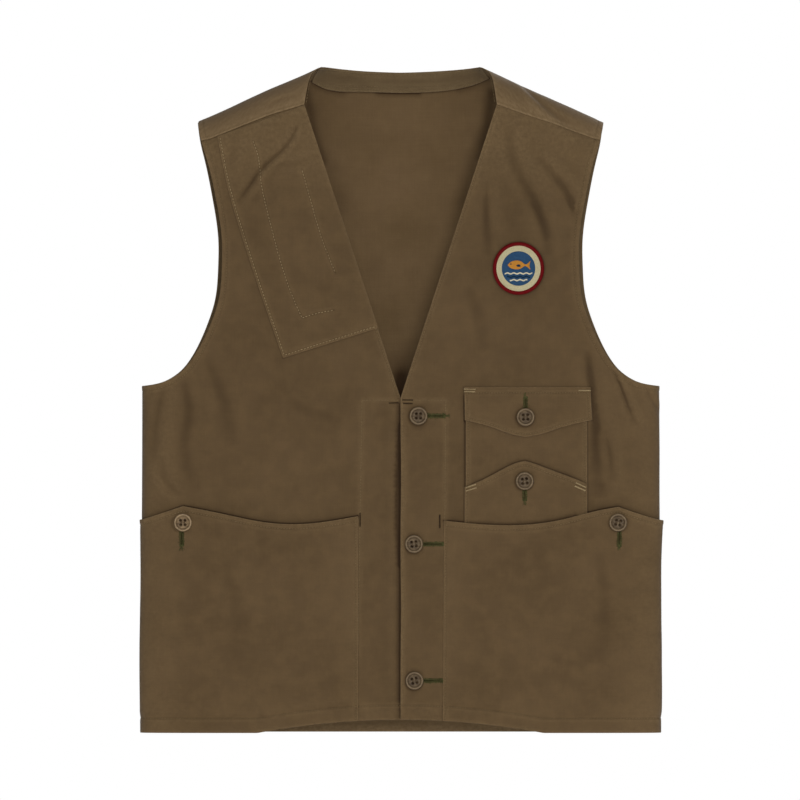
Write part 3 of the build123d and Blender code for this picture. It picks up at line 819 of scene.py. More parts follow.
def twill(name, colour, shade, pitch, angle=0.8):
    """Embroidery or twill: close parallel ridges, with painted shade in the troughs between them."""
    f = Finish(name, Specular_IOR_Level=0.12)
    at = f.attribute("flat", "Vector")
    axes = f.node("ShaderNodeSeparateXYZ", {0: at})
    turn = 2 * math.pi / (pitch / 1000)
    sloped = f.maths("ADD", f.maths("MULTIPLY", axes.outputs[0], turn * math.cos(angle)),
                     f.maths("MULTIPLY", axes.outputs[1], turn * math.sin(angle)))
    ridge_height = f.maths("SINE", f.maths("ADD", sloped, f.maths("MULTIPLY", f.noise(at, 700.0), 2.5)))
    uneven = f.noise(at, 420.0, 3.0, 0.6)
    # painted shade: darker in the troughs between the ridges
    colours = f.mix(f.between(ridge_height, -1.0, 0.4, 0.7, 0.0), colour, shade)
    f.link(f.mix(f.between(uneven, 0.35, 0.75, 0.0, 0.4), colours, shade), "Base Color")
    f.link(f.between(uneven, 0.3, 0.7, 0.65, 0.85), "Roughness")
    f.link(f.bump(ridge_height, 0.00014, 0.8), "Normal")
    return f.material


def horn(name, shift, pale=1.0):
    """Mottled brown button, with a painted highlight on its rim and painted shade in its groove, round its
    holes and underneath.
    """
    f = Finish(name, Specular_IOR_Level=0.22)
    at = f.node("ShaderNodeTexCoord").outputs["Object"]
    moved = f.node("ShaderNodeVectorMath", {0: at, 1: (shift, 0.1, shift * 2)}, operation="ADD").outputs[0]
    swirl = f.node("ShaderNodeMapping", {"Vector": moved, "Scale": (1.0, 1.0, 2.4)}).outputs[0]
    cloud = f.noise(swirl, 170.0, 5.0, 0.62)
    fleck = f.noise(moved, 620.0, 3.0, 0.6)
    worn_and_lit = f.attribute("wear_and_painted_light", "Fac")

    def shade(*c):
        return rgb(*(pale * x for x in c))

    colour = f.mix(f.between(cloud, 0.36, 0.66), shade(72, 56, 37), shade(104, 86, 61))
    colour = f.mix(f.between(fleck, 0.56, 0.72, 0.0, 0.5), colour, shade(42, 29, 18))
    colour = f.mix(f.between(fleck, 0.28, 0.40, 0.4, 0.0), colour, shade(120, 101, 76))
    # painted highlight on the rim
    colour = f.mix(f.between(worn_and_lit, 0.0, 1.0, 0.0, 0.85), colour, shade(142, 124, 99))
    # painted shade in the groove, round the holes, at the edge and underneath
    colour = f.mix(f.between(worn_and_lit, -1.0, 0.0, 0.9, 0.0), colour, rgb(28, 19, 12))
    f.link(colour, "Base Color")
    f.link(f.between(fleck, 0.3, 0.7, 0.48, 0.70), "Roughness")
    f.link(f.bump(fleck, 0.0001, 0.25), "Normal")
    return f.material


OLIVE = (rgb(83, 65, 42), rgb(91, 72, 48), rgb(117, 96, 67))
# painted light: a lighter copy of the same cotton, for the back panel, whose inner side lies in shade
OLIVE_PAINTED_LIGHTER = (rgb(96, 76, 50), rgb(105, 84, 58), rgb(132, 110, 80))
front_cloth = cloth("vest_cotton_front", *OLIVE, seed=0.0)
back_cloth = cloth("vest_cotton_back", *OLIVE_PAINTED_LIGHTER, mottle=0.7, seed=1.3)
pocket_cloth = cloth("vest_cotton_pocket", *OLIVE, mottle=1.15, seed=2.1)
flap_cloth = cloth("vest_cotton_flap", *OLIVE, mottle=1.1, seed=3.2)
patch_cloth = cloth("patch_cotton", *OLIVE, mottle=1.1, seed=4.4)
# painted light: the facings and neckband take a lighter copy of the cotton, as they lie in shade inside
facing_cloth = cloth("facing_cotton", rgb(90, 73, 50), rgb(102, 84, 59), rgb(126, 107, 78), seed=5.1)
seam_thread = thread("seam_thread", rgb(106, 88, 60), rgb(128, 109, 78))
tan_thread = thread("tan_thread", rgb(150, 130, 96), rgb(178, 158, 120))
green_thread = thread("buttonhole_thread", rgb(60, 58, 30), rgb(82, 82, 46))
sewing_thread = thread("button_thread", rgb(74, 58, 39), rgb(98, 80, 56))
bartack_thread = thread("bartack_thread", rgb(46, 33, 19), rgb(66, 50, 31))


# ---- pieces ----

pieces = {}
BLENDS = {-1: "right_front", 1: "left_front"}


def finish_piece(obj, nodes=(), body=None, side=None):
    """Ties a piece to its body and hides the CAD nodes it stands for. With side, it is tied to no body, and
    its placing is baked into its mesh.
    """
    if side is not None:
        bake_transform(obj)
    else:
        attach(obj, body)
    if nodes:
        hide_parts(*nodes)
    pieces[obj.name] = obj
    return obj


def cut_size(obj, folded=0.0):
    """Works out how large the piece was cut, with what is folded under, taking a long curved facing as a
    strip; the sizes are not kept.
    """
    wide, long, area, round_it = obj["cut"]
    long, area = long + folded, area + folded * wide
    fills_little, curve_room = 0.32, 2.4
    if area < fills_little * wide * long:
        long = (round_it + math.sqrt(max(round_it**2 - 16 * area, 0))) / 4
        wide = area / long + curve_room
        area = wide * long


def hem_rise(u):
    """How far the fronts' hem rises towards the centre."""
    return np.clip(14 * (1 - (np.abs(u) / 150) ** 2), 0, None)


def across(start, end, height=0.0):
    """A line across, that height above the fronts' hem."""
    u = np.linspace(start, end, max(2, int(abs(end - start) / 2.5)))
    return np.c_[u, hem_rise(u) + height]


# front and back overlap a little in the side seam
EDGE = SIDE + 0.7
# the big pockets end just before the side seam, so that they clear the back as a front opens
POCKET_EDGE = SIDE - 8.5


def armhole_path(points, side):
    path = flat(curve(sided(points, side), 1.6))
    return line(np.vstack([path, [(side * EDGE, path[-1, 1])]]), 2.5)


ARM = {s: armhole_path(ARMHOLE, s) for s, _ in SIDES}
ARM_OVER = {s: flat(curve(sided(ARMHOLE, s), 1.6), True) for s, _ in SIDES}


def edge_curve(v):
    """How far the left front's edge draws back between its buttons."""
    return 0.6 * np.sin(np.pi * np.clip((v - 208) / 118, 0, 1)) ** 2 + 0.5 * np.sin(
        np.pi * np.clip((v - 66) / 124, 0, 1)) ** 2


def button_shadows(*buttons):
    """Painted shadow on the cloth under buttons, by their edge and at their middle."""
    return [band for x, h in buttons for band in ((circle((x - 0.7, h - 0.8), 9.3, 40), 1.6, 0.65),
                                                  (circle((x, h), 3.3, 24), 2.2, 1.2))]


# outlines of what lies on the fronts
patch_side = flat(curve([(-192, 627), (-184.3, 586), (-165.4, 518), (-123.4, 393.8)], 2.2))
patch_top = line(flat([(-101.6, 659), (-150, 641.2), (-192, 627)]))
patch_vee = line([(-23.4, 425.3), (-100.6, 659)])
patch_base = line([(-123.4, 393.8), (-23.4, 425.3)])
patch_outline = np.vstack([patch_side[:-1], patch_base[:-1], patch_vee[:-1], patch_top[:-1]])
mouths = {}
for s, _ in SIDES:
    mouth = flat(np.vstack([curve(sided(POCKET_MOUTH[s], s), 2.0)[:-1],
                            curve(sided(POCKET_MOUTH_END[s], s), 2.0)]))
    mouth = mouth[np.abs(mouth[:, 0]) < POCKET_EDGE - 0.5]
    mouths[s] = line(np.vstack([mouth, [(s * POCKET_EDGE, mouth[-1, 1] - 0.3)]]), 2.4)
pocket_inner = {s: line([(s * POCKET_SIDE[s], POCKET_MOUTH[s][0][1]), (s * 44.5, 14.2)]) for s, _ in SIDES}
chest_mouth = np.vstack([curve([(67.2, 258.3), (84, 265), (108, 277.5), (124, 284.4), (130.7, 285.8)])[:-1],
                         curve([(130.7, 285.8), (140, 283), (160, 275.6), (180, 268.2), (195.8, 261.5)])])
chest_sides = [upright(67.6, 224, 352), upright(195.8, 224, 352)]
flap_free = line([(66.9, 362), (67.4, 328.4), (96, 321), (120, 312.6), (130.9, 310.9), (143, 312.6),
                  (168, 320.6), (201, 328.6), (199.2, 362)], 2.2)
badge_ring = circle(BADGE, 27.2, 96, TALL)
# painted shadow along the closing, under the left front's edge
closing_shadow = upright(-0.6, 352, 12)
# where the left front's edge draws back, a band of shade is painted on the cloth under it
gap = curve([(-1.2, 322), (-2.6, 285), (-3.6, 245), (-2.8, 205), (-1.2, 176)])
# painted shadows on the fronts: under the pocket mouths, beside the pockets, patch and badge, below the flap,
# under the buttons and along the closing
front_shades = {
    1: [(mouths[1], 1.4, 1.1), (pocket_inner[1], 1.2, 0.5), *button_shadows(*FRONT_BUTTONS),
        (chest_sides[0], 1.3, 0.8), (chest_sides[1], 1.1, 0.6), (flap_free[:16], 1.6, 0.6),
        (flap_free[-16:], 1.6, 0.5), (badge_ring, 1.5, 0.45)],
    -1: [(mouths[-1], 1.4, 1.1), (pocket_inner[-1], 1.2, 0.5), (patch_side, 1.0, 0.25),
         (patch_base, 1.2, 0.35), (closing_shadow, 1.5, 0.9), (gap, 2.4, 0.6)],
}

# sewn lines on the fronts
def left_edge(high, low, inset=0.0):
    """The free edge of the left front, or a line that much inside it."""
    v = np.linspace(high, low, 150)
    return np.c_[inset + edge_curve(v), v]


arm_line = {s: beside(ARM[s][ARM[s][:, 1] < 655], -5.0 * s) for s, _ in SIDES}
vee_line = {s: beside(line([(s * SEAM_X, SEAM_H), (0, VEE_LOW)]), 2.3 * s) for s, _ in SIDES}
front_lines = {
    1: [arm_line[1], vee_line[1], left_edge(350, 30, 2.3), line([(47.6, 349), (44.8, 29)]),
        line([(2.5, 349.5), (47.4, 349.5)]), across(1.5, 44, 15.0)],
    -1: [arm_line[-1], vee_line[-1], line([(-40.4, 349), (-45.6, 29)]), line([(-40, 349.5), (-1.5, 349.5)]),
         across(-44, 34, 15.0)],
}
# painted light along the sewn lines of the front edges, and paler cloth in the middle of the hem
for s, _ in SIDES:
    front_shades[s] += [(across(s * 85, s * 2, 7.0), 5.0, -0.30)]
    front_shades[s] += [(path, 0.9, -1.0) for path in front_lines[s][2:-1]]
front_groove = {s: grooves(front_lines[s], seed=20 + s) for s, _ in SIDES}
arm_edge = {s: Paths([ARM[s]]) for s, _ in SIDES}


def lap(u, v):
    """How far the right front steps in, under the left one."""
    return (2.2 * smooth((u + 38) / 32) + 1.2 * smooth((u + 9) / 7)) * smooth((395 - v) / 40)


def front_plain(side):
    """The outer side of a front, smooth. The left front's free edge lifts between its buttons."""

    def shape(u, v):
        out = 1.0 + drape(u, v)
        if side < 0:
            return out - lap(u, v)
        lift = 1.5 * hill((v - 262) / 40) + 1.0 * hill((v - 120) / 42)
        return out + 0.35 + lift * hill(u / 11)

    return shape


def past_seam(u, v):
    """How far a point is above the shoulder seam."""
    return v - (SEAM_H - (np.abs(u) - SEAM_X) * 36 / 99)


def hem_ridge(u, v):
    return 0.3 * smooth((HEM_FOLD + 0.5 + hem_rise(u) - v) / 1.5)


def front_top(side):
    """The outer side of a front: doubled cloth along its armhole and hem, tucked in at the shoulder seam."""
    plain = front_plain(side)

    def shape(u, v):
        d, _ = arm_edge[side].near(u, v)
        doubled = 0.35 * smooth((5.8 - d) / 1.6) + hem_ridge(u, v)
        return plain(u, v) + front_groove[side](u, v) + doubled - 0.95 * smooth((past_seam(u, v) + 2) / 4)

    return shape


def front_thick(u, v):
    return 0.8 + 0.8 * smooth((HEM_FOLD + hem_rise(u) - v) / 0.8)


# buttonholes in the left front
slots = [(np.array(button) + (1.0, 0), np.array((end, button[1])))
         for button, end in zip(FRONT_BUTTONS, (46.2, 44.4, 44.4))]
slot_holes = [slot(a, b, 0.55) for a, b in slots]

under_lap = 36  # how far the right front runs on under the left one
for s, name in SIDES:
    seam_up = flat([(s * 102.6, 666), (s * 200, 630), (s * 207.6, 627.5)])
    arm = ARM[s][ARM[s][:, 1] < seam_up[-1, 1]][::-1]
    rows = [across(0 if s > 0 else under_lap, s * EDGE), upright(s * EDGE, 0, 364), arm, line(seam_up[::-1]),
            line([seam_up[0], (s * SEAM_X, SEAM_H), (0, VEE_LOW)]),
            left_edge(VEE_LOW, 14) if s > 0 else
            line([(0, VEE_LOW), (under_lap, 350), (under_lap, hem_rise(under_lap))])]
    outline = np.vstack([r[:-1] for r in rows])
    panel = sheet(f"{name}_front_panel", outline, front_top(s), front_cloth, front_thick, traces=SHARP,
                  holes=slot_holes if s > 0 else (), lines=front_lines[s], shades=front_shades[s])
    finish_piece(panel, [f"{name}_upper_front", f"{name}_front"], side=s)

# ---- back panel, over the shoulders to the seams ----

arm_back = {s: armhole_path(BACK_ARMHOLE, s) for s, _ in SIDES}
half = {}
back_lines = [line([(-EDGE, HEM_FOLD), (EDGE, HEM_FOLD)])]
for s, _ in SIDES:
    over = ARM_OVER[s]
    seam = flat([(s * SEAM_X, SEAM_H), (s * 200, 624), (s * 208.4, 622)], True)
    strip_arm = over[over[:, 1] < seam[-1, 1]]
    neck_back = flat([(s * x, 694.9 + 4.4 * (x / 84.6) ** 2) for x in np.linspace(0, 84.6, 36)])
    neck_front = flat(curve(sided(NECK_SIDE, s), 2.0), True)
    half[s] = [line([(0, 0), (s * EDGE, 0)]), upright(s * EDGE, 0, 364), arm_back[s][::-1],
               strip_arm, line(seam[::-1]), neck_front[::-1], neck_back[::-1]]
    back_lines += [beside(arm_back[s], -5.0 * s), beside(line(half[s][4]), 2.6 * s),
                   beside(over[over[:, 1] < half[s][4][0, 1]], 5.0 * s), beside(half[s][5], -2.3 * s)]
outline = np.vstack([np.vstack([r[:-1] for r in half[1]]), np.vstack([r[:-1] for r in half[-1]])[::-1]])
back_groove = grooves(back_lines, seed=40)


def back_plain(u, v):
    return 1.0 + drape_back(u, v)


def back_top(u, v):
    return (back_plain(u, v) + back_groove(u, v) + 0.42 * smooth((v - turn_at(u) - 20) / 12)
            + 0.3 * smooth((HEM_FOLD + 0.5 - v) / 1.5))


band_top = flat([(x, 694.4 + 4.0 * (x / 84) ** 2) for x in np.linspace(-84, 84, 70)])
band_low = flat(curve([(-93, 684), (-80, 677.5), (-50, 674.5), (0, 673.5), (50, 676), (78, 682), (93, 688)]))
# painted on the inner side of the back: shade under the neckband, by the armholes, beside the fronts and at
# the bottom of the V, and light at the hem
inner_shade_and_light = [(band_low, 1.3, 0.7), (band_low[28:46], 3.0, 0.55), (band_low[:14], 5.0, 0.35),
               (band_low[-14:], 5.0, 0.35), *((arm_back[s], 6.0, 0.6) for s, _ in SIDES),
               (line([(-99, 676), (-92, 633), (-82, 602)]), 4.5, 0.42),
               (line([(-98, 672), (-90, 632), (-64, 553)]), 13.0, 0.26),
               (line([(96, 676), (92, 640), (84, 606)]), 4.5, 0.38),
               (line([(96, 672), (90, 636), (66, 560)]), 9.0, 0.26),
               (line([(-120, 5), (120, 5)]), 6.0, -1.4),
               (upright(0, 374, 345), 10.0, 0.75), (upright(0, 392, 345), 13.0, 0.35)]


def back_thick(u, v):
    return 0.8 + 0.7 * smooth((HEM_FOLD - v) / 0.8)


# painted shade on the back's cloth above the fold over the shoulder
over_fold_shade = flat([(136, 683), (160, 662), (186, 641)], True)
panel = sheet("back_panel_cloth", outline, back_top, back_cloth, back_thick, face=-1, lines=back_lines,
              step=3.6, shades=[(line(over_fold_shade), 9.0, 0.22)], low_shades=inner_shade_and_light)
finish_piece(panel, ["back_panel"], body="torso")

# ---- facings, plackets and the neckband, on the inside ----


def facing(name, outline, shape, **cut):
    """Thin cloth sewn to the inner side of a panel."""
    return sheet(name, outline, lambda u, v: shape(u, v) - 0.86, facing_cloth, 0.55, rim=0.5, worn_and_lit=0.6, **cut)


def facing_outline(s, outer, inner, top=math.inf):
    """A strip between an armhole and its facing's inner edge, cut off at the top."""
    outer, inner = beside(outer, -0.9 * s), flat(curve(sided(inner, s), 2.0))
    outer, inner = outer[(outer[:, 1] < top) & (np.abs(outer[:, 0]) < EDGE)], inner[inner[:, 1] < top + 2]
    outline = np.vstack([outer, [(s * EDGE, 363.6)], [(s * EDGE, 354)], line(inner)[::-1]])
    return line(np.vstack([outline, outline[:1]]), 2.6)


for s, name in SIDES:
    outline = facing_outline(s, ARM[s], ARMHOLE_INNER, 640)
    piece = facing(f"{name}_armhole_facing_front", outline, front_plain(s), step=3.4)
    finish_piece(piece, [f"{name}_armhole_facing"], side=s)
    outline = facing_outline(s, arm_back[s], BACK_ARMHOLE_INNER)
    piece = facing(f"{name}_armhole_facing_back", outline, back_plain, face=-1, step=3.4)
    finish_piece(piece, body="torso")

for s, name in SIDES:
    x0, x1 = (3.0, 49.5) if s > 0 else (-44.0, 35.4)
    outline = line([(x0, 31), (x1, 31), (x1, 348), (x0, 348), (x0, 31)])
    piece = facing(f"{name}_placket_facing", outline, front_plain(s), step=3.6,
                   holes=slot_holes if s > 0 else ())
    finish_piece(piece, [f"{name}_placket"], side=s)

band_lines = [beside(band_top, -3.0)[3:-3], beside(band_low, 2.6)[2:-2], beside(band_low, 6.0)[6:-6]]
band_ripple = grooves(band_lines, deep=-0.3, pucker=-0.3, seed=60)


def band_shape(depth):
    return lambda u, v: back_plain(u, v) - depth + band_ripple(u, v) - 0.25 * noise(u, v, 14, 61)


outline = line(np.vstack([band_top, band_low[::-1], band_top[:1]]), 2.2)
piece = sheet("neckband_facing", outline, band_shape(0.9), facing_cloth, 0.8, face=-1, lines=band_lines,
              step=2.6, rim=0.7)
finish_piece(piece, ["neckband"], body="torso")


# ---- shoulder patch ----

patch_lines = [beside(patch_side, 2.4)[1:-1], beside(patch_base, 2.4)[1:-1],
               line(curve([(-155, 622), (-149.5, 606), (-146.5, 580), (-142.5, 559), (-132, 517), (-116, 465),
                           (-103.5, 436)])), line([(-103.5, 436), (-87, 441), (-70.5, 444)]),
               line([(-103.3, 591), (-88.7, 539), (-82.5, 518), (-68.8, 484)])]
patch_groove = grooves(patch_lines, deep=0.5, pucker=0.22, seed=70)
patch_edge_near = Paths([np.vstack([patch_outline, patch_outline[:1]]), *patch_lines[2:]])


def patch_top_at(u, v):
    d, _ = patch_edge_near.near(u, v)
    return (front_plain(-1)(u, v) + 0.92 + 0.55 * (1 - np.exp(-d / 7)) + patch_groove(u, v)
            - 0.5 * smooth((past_seam(u, v) + 5) / 5))


piece = sheet("shoulder_patch_cloth", patch_outline, patch_top_at, patch_cloth, 0.75, lines=patch_lines,
              step=3.0, traces=SHARP)
finish_piece(piece, ["shoulder_patch"], side=-1)

# ---- large pockets ----

pocket_tops = {}
pocket_lines = {}
mouth_near = {}
for s, name in SIDES:
    mouth, inner_side = mouths[s], pocket_inner[s]
    foot = across(s * 44.5, s * POCKET_EDGE)
    outer_side = upright(s * POCKET_EDGE, 0, mouth[-1, 1])
    outline = np.vstack([inner_side[:-1], foot[:-1], outer_side[:-1], mouth[::-1][:-1]])
    sewn = Paths([inner_side, across(s * 44.5, s * POCKET_EDGE, HEM_FOLD), outer_side])
    lines = [beside(inner_side, 2.2 * s), across(s * 46, s * (POCKET_EDGE - 1), HEM_FOLD),
             beside(mouth, -5.0 * s)[1:-2], beside(mouth, -1.6 * s)[1:-2]]
    groove = grooves(lines[:3], deep=0.4, pucker=0.22, seed=80 + s)
    mouth_near[s] = Paths([mouth])

    def shape(u, v, s=s, sewn=sewn, groove=groove):
        d, _ = sewn.near(u, v)
        m, _ = mouth_near[s].near(u, v)
        free = smooth((v - HEM_FOLD - hem_rise(u)) / 6)
        gape = (2.3 if s > 0 else 1.8) * np.exp(-((m / 34) ** 1.4))
        bulge = 1.9 + gape + 0.7 * noise(u, v, 70, 90 + s) + 0.35 * noise(u, v, 30, 92 + s)
        rise = bulge * (1 - np.exp(-((d / 9.0) ** 1.25))) * free
        apex = 0.9 * hill((np.abs(u) - 228) / 20) * hill(m / 10)
        edge = 0.4 * smooth((6.0 - m) / 1.6) + hem_ridge(u, v)
        return front_plain(s)(u, v) + 0.9 + rise - apex + edge + groove(u, v)

    pocket_tops[s], pocket_lines[s] = shape, lines
    place_x, place_h = POCKET_BUTTONS[s]
    hole = slot((place_x, place_h - 1), (place_x, place_h - 24.5), 0.55)

    def pocket_thick(u, v, s=s):
        m, _ = mouth_near[s].near(u, v)
        return 0.8 + 0.5 * smooth((14 - m) / 1.0)

    # painted shadow under the pocket's button
    piece = sheet(f"{name}_lower_pocket_cloth", outline, shape, pocket_cloth, pocket_thick, holes=[hole],
                  lines=lines, step=3.2, shades=button_shadows(POCKET_BUTTONS[s]))
    finish_piece(piece, [f"{name}_lower_pocket"], body=BLENDS[s])

# ---- chest pockets ----

upper_outline = line([(68.6, 206), (195.8, 206), (195.8, 351), (68.6, 351), (68.6, 206)])
upper_sewn = Paths([upright(68.6, 206, 351), upright(195.8, 206, 351)])
upper_lines = [upright(71.0, 208, 349), upright(193.4, 208, 349), line([(70, 346), (194.5, 346)])]
upper_groove = grooves(upper_lines, deep=0.35, pucker=0.2, seed=101)


def upper_chest(u, v):
    d, _ = upper_sewn.near(u, v)
    rise = (0.55 + 0.25 * noise(u, v, 40, 102)) * (1 - np.exp(-((d / 8) ** 1.3)))
    return front_plain(1)(u, v) + 0.88 + rise + upper_groove(u, v)


# painted shadows: under the flap's edge, along the lower pocket's mouth and above the big pocket's mouth
piece = sheet("upper_chest_pocket_cloth", upper_outline, upper_chest, pocket_cloth, 0.75, lines=upper_lines,
              step=2.6, shades=[(flap_free, 1.6, 0.25), (chest_mouth, 1.8, 0.7), (mouths[1][:70], 2.0, 0.6)])
finish_piece(piece, ["upper_chest_pocket"], body="left_front")

lower_outline = np.vstack([line([(67.2, 206), (195.8, 206), (195.8, 261.5)])[:-1], chest_mouth[::-1][:-1],
                           line([(67.2, 258.3), (67.2, 206)])[:-1]])
lower_sewn = Paths([upright(67.2, 206, 258), upright(195.8, 206, 261)])
chest_near = Paths([chest_mouth])
lower_lines = [upright(69.6, 208, 255), upright(193.4, 208, 258), beside(chest_mouth, -4.2)[2:-2]]
lower_groove = grooves(lower_lines, deep=0.35, pucker=0.2, seed=105)


def lower_chest(u, v):
    d, _ = lower_sewn.near(u, v)
    m, _ = chest_near.near(u, v)
    rise = 0.5 + 1.0 * np.exp(-((m / 16) ** 1.5)) + 0.25 * noise(u, v, 36, 106)
    rise = rise * (1 - np.exp(-((d / 12) ** 1.4)))
    calm = smooth((v - 226) / 20)
    return (front_plain(1)(u, v) + 1.75 + 0.55 * (1 - np.exp(-((d / 8) ** 1.3))) + rise * (0.35 + 0.65 * calm)
            + 0.3 * smooth((5 - m) / 1.4) + lower_groove(u, v))


chest_hole = slot((CHEST_BUTTON[0], CHEST_BUTTON[1] - 1), (CHEST_BUTTON[0], CHEST_BUTTON[1] - 20.5), 0.55)
# painted shadows above the big pocket's mouth and under the button
piece = sheet("lower_chest_pocket_cloth", lower_outline, lower_chest, pocket_cloth,
              lambda u, v: 0.75 + 0.4 * smooth((12 - chest_near.near(u, v)[0]) / 1.0), holes=[chest_hole],
              lines=lower_lines, step=2.6, shades=[(mouths[1][:70], 2.2, 0.8), *button_shadows(CHEST_BUTTON)])
finish_piece(piece, ["lower_chest_pocket"], body="left_front")

# ---- flap ----

flap_outline = np.vstack([line([(66.9, 363.4), (67.4, 328.4)])[:-1],
                          curve([(67.4, 328.4), (96, 321), (120, 312.6), (130.9, 310.9)])[:-1],
                          curve([(130.9, 310.9), (143, 312.6), (168, 320.6), (201, 328.6)])[:-1],
                          line([(201, 328.6), (199.2, 363.4), (66.9, 363.4)])[:-1]])
flap_lines = [beside(flap_free, 2.8)[2:-2], line([(69, 357.2), (197.5, 357.2)])]
flap_groove = grooves(flap_lines, deep=0.38, pucker=0.24, seed=110)


def flap_top(u, v):
    fall = smooth((364 - v) / 20)
    tip = hill((u - 131) / 45) * smooth((345 - v) / 34)
    corner = (hill((u - 67) / 16) + hill((u - 201) / 16)) * hill((v - 330) / 16)
    return (front_plain(1)(u, v) + 1.45 + 1.75 * fall + 0.5 * tip + 0.4 * corner
            + 0.25 * noise(u, v, 30, 111) + flap_groove(u, v))


flap_hole = slot((FLAP_BUTTON[0], FLAP_BUTTON[1] + 1), (FLAP_BUTTON[0], FLAP_BUTTON[1] + 21.5), 0.55)
# painted shadow under the flap's button
piece = sheet("chest_pocket_flap_cloth", flap_outline, flap_top, flap_cloth, 1.25, holes=[flap_hole],
              lines=flap_lines, step=2.4, rim=0.9, shades=button_shadows(FLAP_BUTTON))
finish_piece(piece, ["chest_pocket_flap"], body="chest_pocket_flap")


# ---- sewn lines, buttonholes and bartacks ----

def thread_object(name, parts, material, nodes=(), body=None, side=None):
    verts, faces = join(parts)
    obj = build(name, verts, faces, material)
    return finish_piece(obj, nodes, body, side)


for s, name in SIDES:
    thread_object(f"{name}_front_topstitching", topstitch(front_lines[s], front_top(s)), seam_thread,
                  side=s)
    thread_object(f"{name}_pocket_topstitching", topstitch(pocket_lines[s][:3], pocket_tops[s]), seam_thread,
                  body=BLENDS[s])

thread_object("back_topstitching", topstitch(back_lines, back_top, -1), seam_thread,
              body="torso")
thread_object("patch_topstitching", topstitch(patch_lines, patch_top_at, radius=0.26, pitch=3.4, gap=1.1),
              tan_thread, side=-1)
thread_object("chest_pocket_topstitching",
              [threads(stitches(p, seed=3), upper_chest, radius=0.24) for p in upper_lines[:2]]
              + [threads(stitches(p, seed=4), lower_chest, radius=0.24) for p in lower_lines],
              seam_thread, body="left_front")
thread_object("flap_topstitching", [threads(stitches(p, 2.8), flap_top, radius=0.26) for p in flap_lines],
              seam_thread, body="chest_pocket_flap")


# the neckband's stitches are on the inner side of the back, which is seen through the neck
thread_object("neckband_topstitching",
              [threads(stitches(p, seed=9), band_shape(1.75), -1, 0.24, -0.16, -0.22, inward=True)
               for p in band_lines],
              seam_thread, body="torso")


def buttonhole(start, end, surface, seed):
    """Tight stitches across both lips of a buttonhole, bars at its ends and a few loose threads."""
    rng = np.random.RandomState(seed)
    start, end = np.array(start, float), np.array(end, float)
    way = (end - start) / np.hypot(*(end - start))
    side = np.array([-way[1], way[0]])
    n = int(np.hypot(*(end - start)) / 0.42)
    lips = []
    for sign in (-1, 1):
        at = start + np.linspace(0, 1, n)[:, None] * (end - start) + way * rng.normal(0, 0.06, (n, 1))
        inner = at + side * sign * 0.18
        outer = at + side * sign * (2.5 + rng.normal(0, 0.4, (n, 1))) + way * rng.normal(0, 0.3, (n, 1))
        lips.append(np.stack([inner, outer], 1))
    bars = []
    for at in (start, end):
        k = np.arange(-2, 3)[:, None] * 0.42
        middle = at + way * k
        reach = 2.2 + rng.normal(0, 0.2, (5, 1))
        bars.append(np.stack([middle - side * reach, middle + side * reach], 1))
    parts = [threads(np.vstack(lips), surface, radius=0.25, arch=0.34, sink=0.15),
             threads(np.vstack(bars), surface, radius=0.27, arch=0.62, sink=0.15)]
    tails = []
    for k in range(7):
        t = np.linspace(0, 1, 9)
        spread = rng.normal(0, 0.32)
        reach = rng.uniform(3.0, 6.0)
        sway = spread * reach * t**1.3 + 0.35 * np.sin(7 * t + k)
        uv = end + way * (t * reach)[:, None] + side * sway[:, None]
        out = surface(uv[:, 0], uv[:, 1]) + 0.25 + 0.5 * np.sin(math.pi * t) * rng.uniform(0.3, 1.0)
        tails.append(place(uv[:, 0], uv[:, 1], out))
    parts.append(tubes(np.stack(tails), 0.20))
    fuzz = []
    for k in range(26):
        t = np.linspace(0, 1, 7)
        middle = start + (end - start) * rng.uniform(-0.05, 1.1) + side * rng.normal(0, 1.5)
        turn = rng.uniform(0, math.pi)
        arc = np.c_[np.cos(turn + 1.6 * t), np.sin(turn + 1.6 * t)] * rng.uniform(0.8, 1.5)
        uv = middle + arc - arc.mean(0)
        out = surface(uv[:, 0], uv[:, 1]) + 0.3 + rng.uniform(0.3, 0.8) * np.sin(math.pi * t)
        fuzz.append(place(uv[:, 0], uv[:, 1], out))
    parts.append(tubes(np.stack(fuzz), 0.16))
    return parts


parts = []
for k, (a, b) in enumerate(slots):
    parts += buttonhole(a + (5, 0), b, front_top(1), 200 + k)
thread_object("front_buttonhole_stitches", parts, green_thread, ["front_buttonholes"],
              side=1)
thread_object("flap_buttonhole_stitches",
              buttonhole((FLAP_BUTTON[0], FLAP_BUTTON[1] + 5), (FLAP_BUTTON[0], FLAP_BUTTON[1] + 20.5),
                         flap_top, 210),
              green_thread, ["flap_buttonhole"], body="chest_pocket_flap")
thread_object("chest_pocket_buttonhole_stitches",
              buttonhole((CHEST_BUTTON[0], CHEST_BUTTON[1] - 5), (CHEST_BUTTON[0], CHEST_BUTTON[1] - 20),
                         lower_chest, 211),
              green_thread, ["chest_pocket_buttonhole"], body="left_front")
for s, name in SIDES:
    x, h = POCKET_BUTTONS[s]
    thread_object(f"{name}_pocket_buttonhole_stitches",
                  buttonhole((x, h - 5), (x, h - 24), pocket_tops[s], 212 + s),
                  green_thread, [f"{name}_pocket_buttonhole"], body=BLENDS[s])


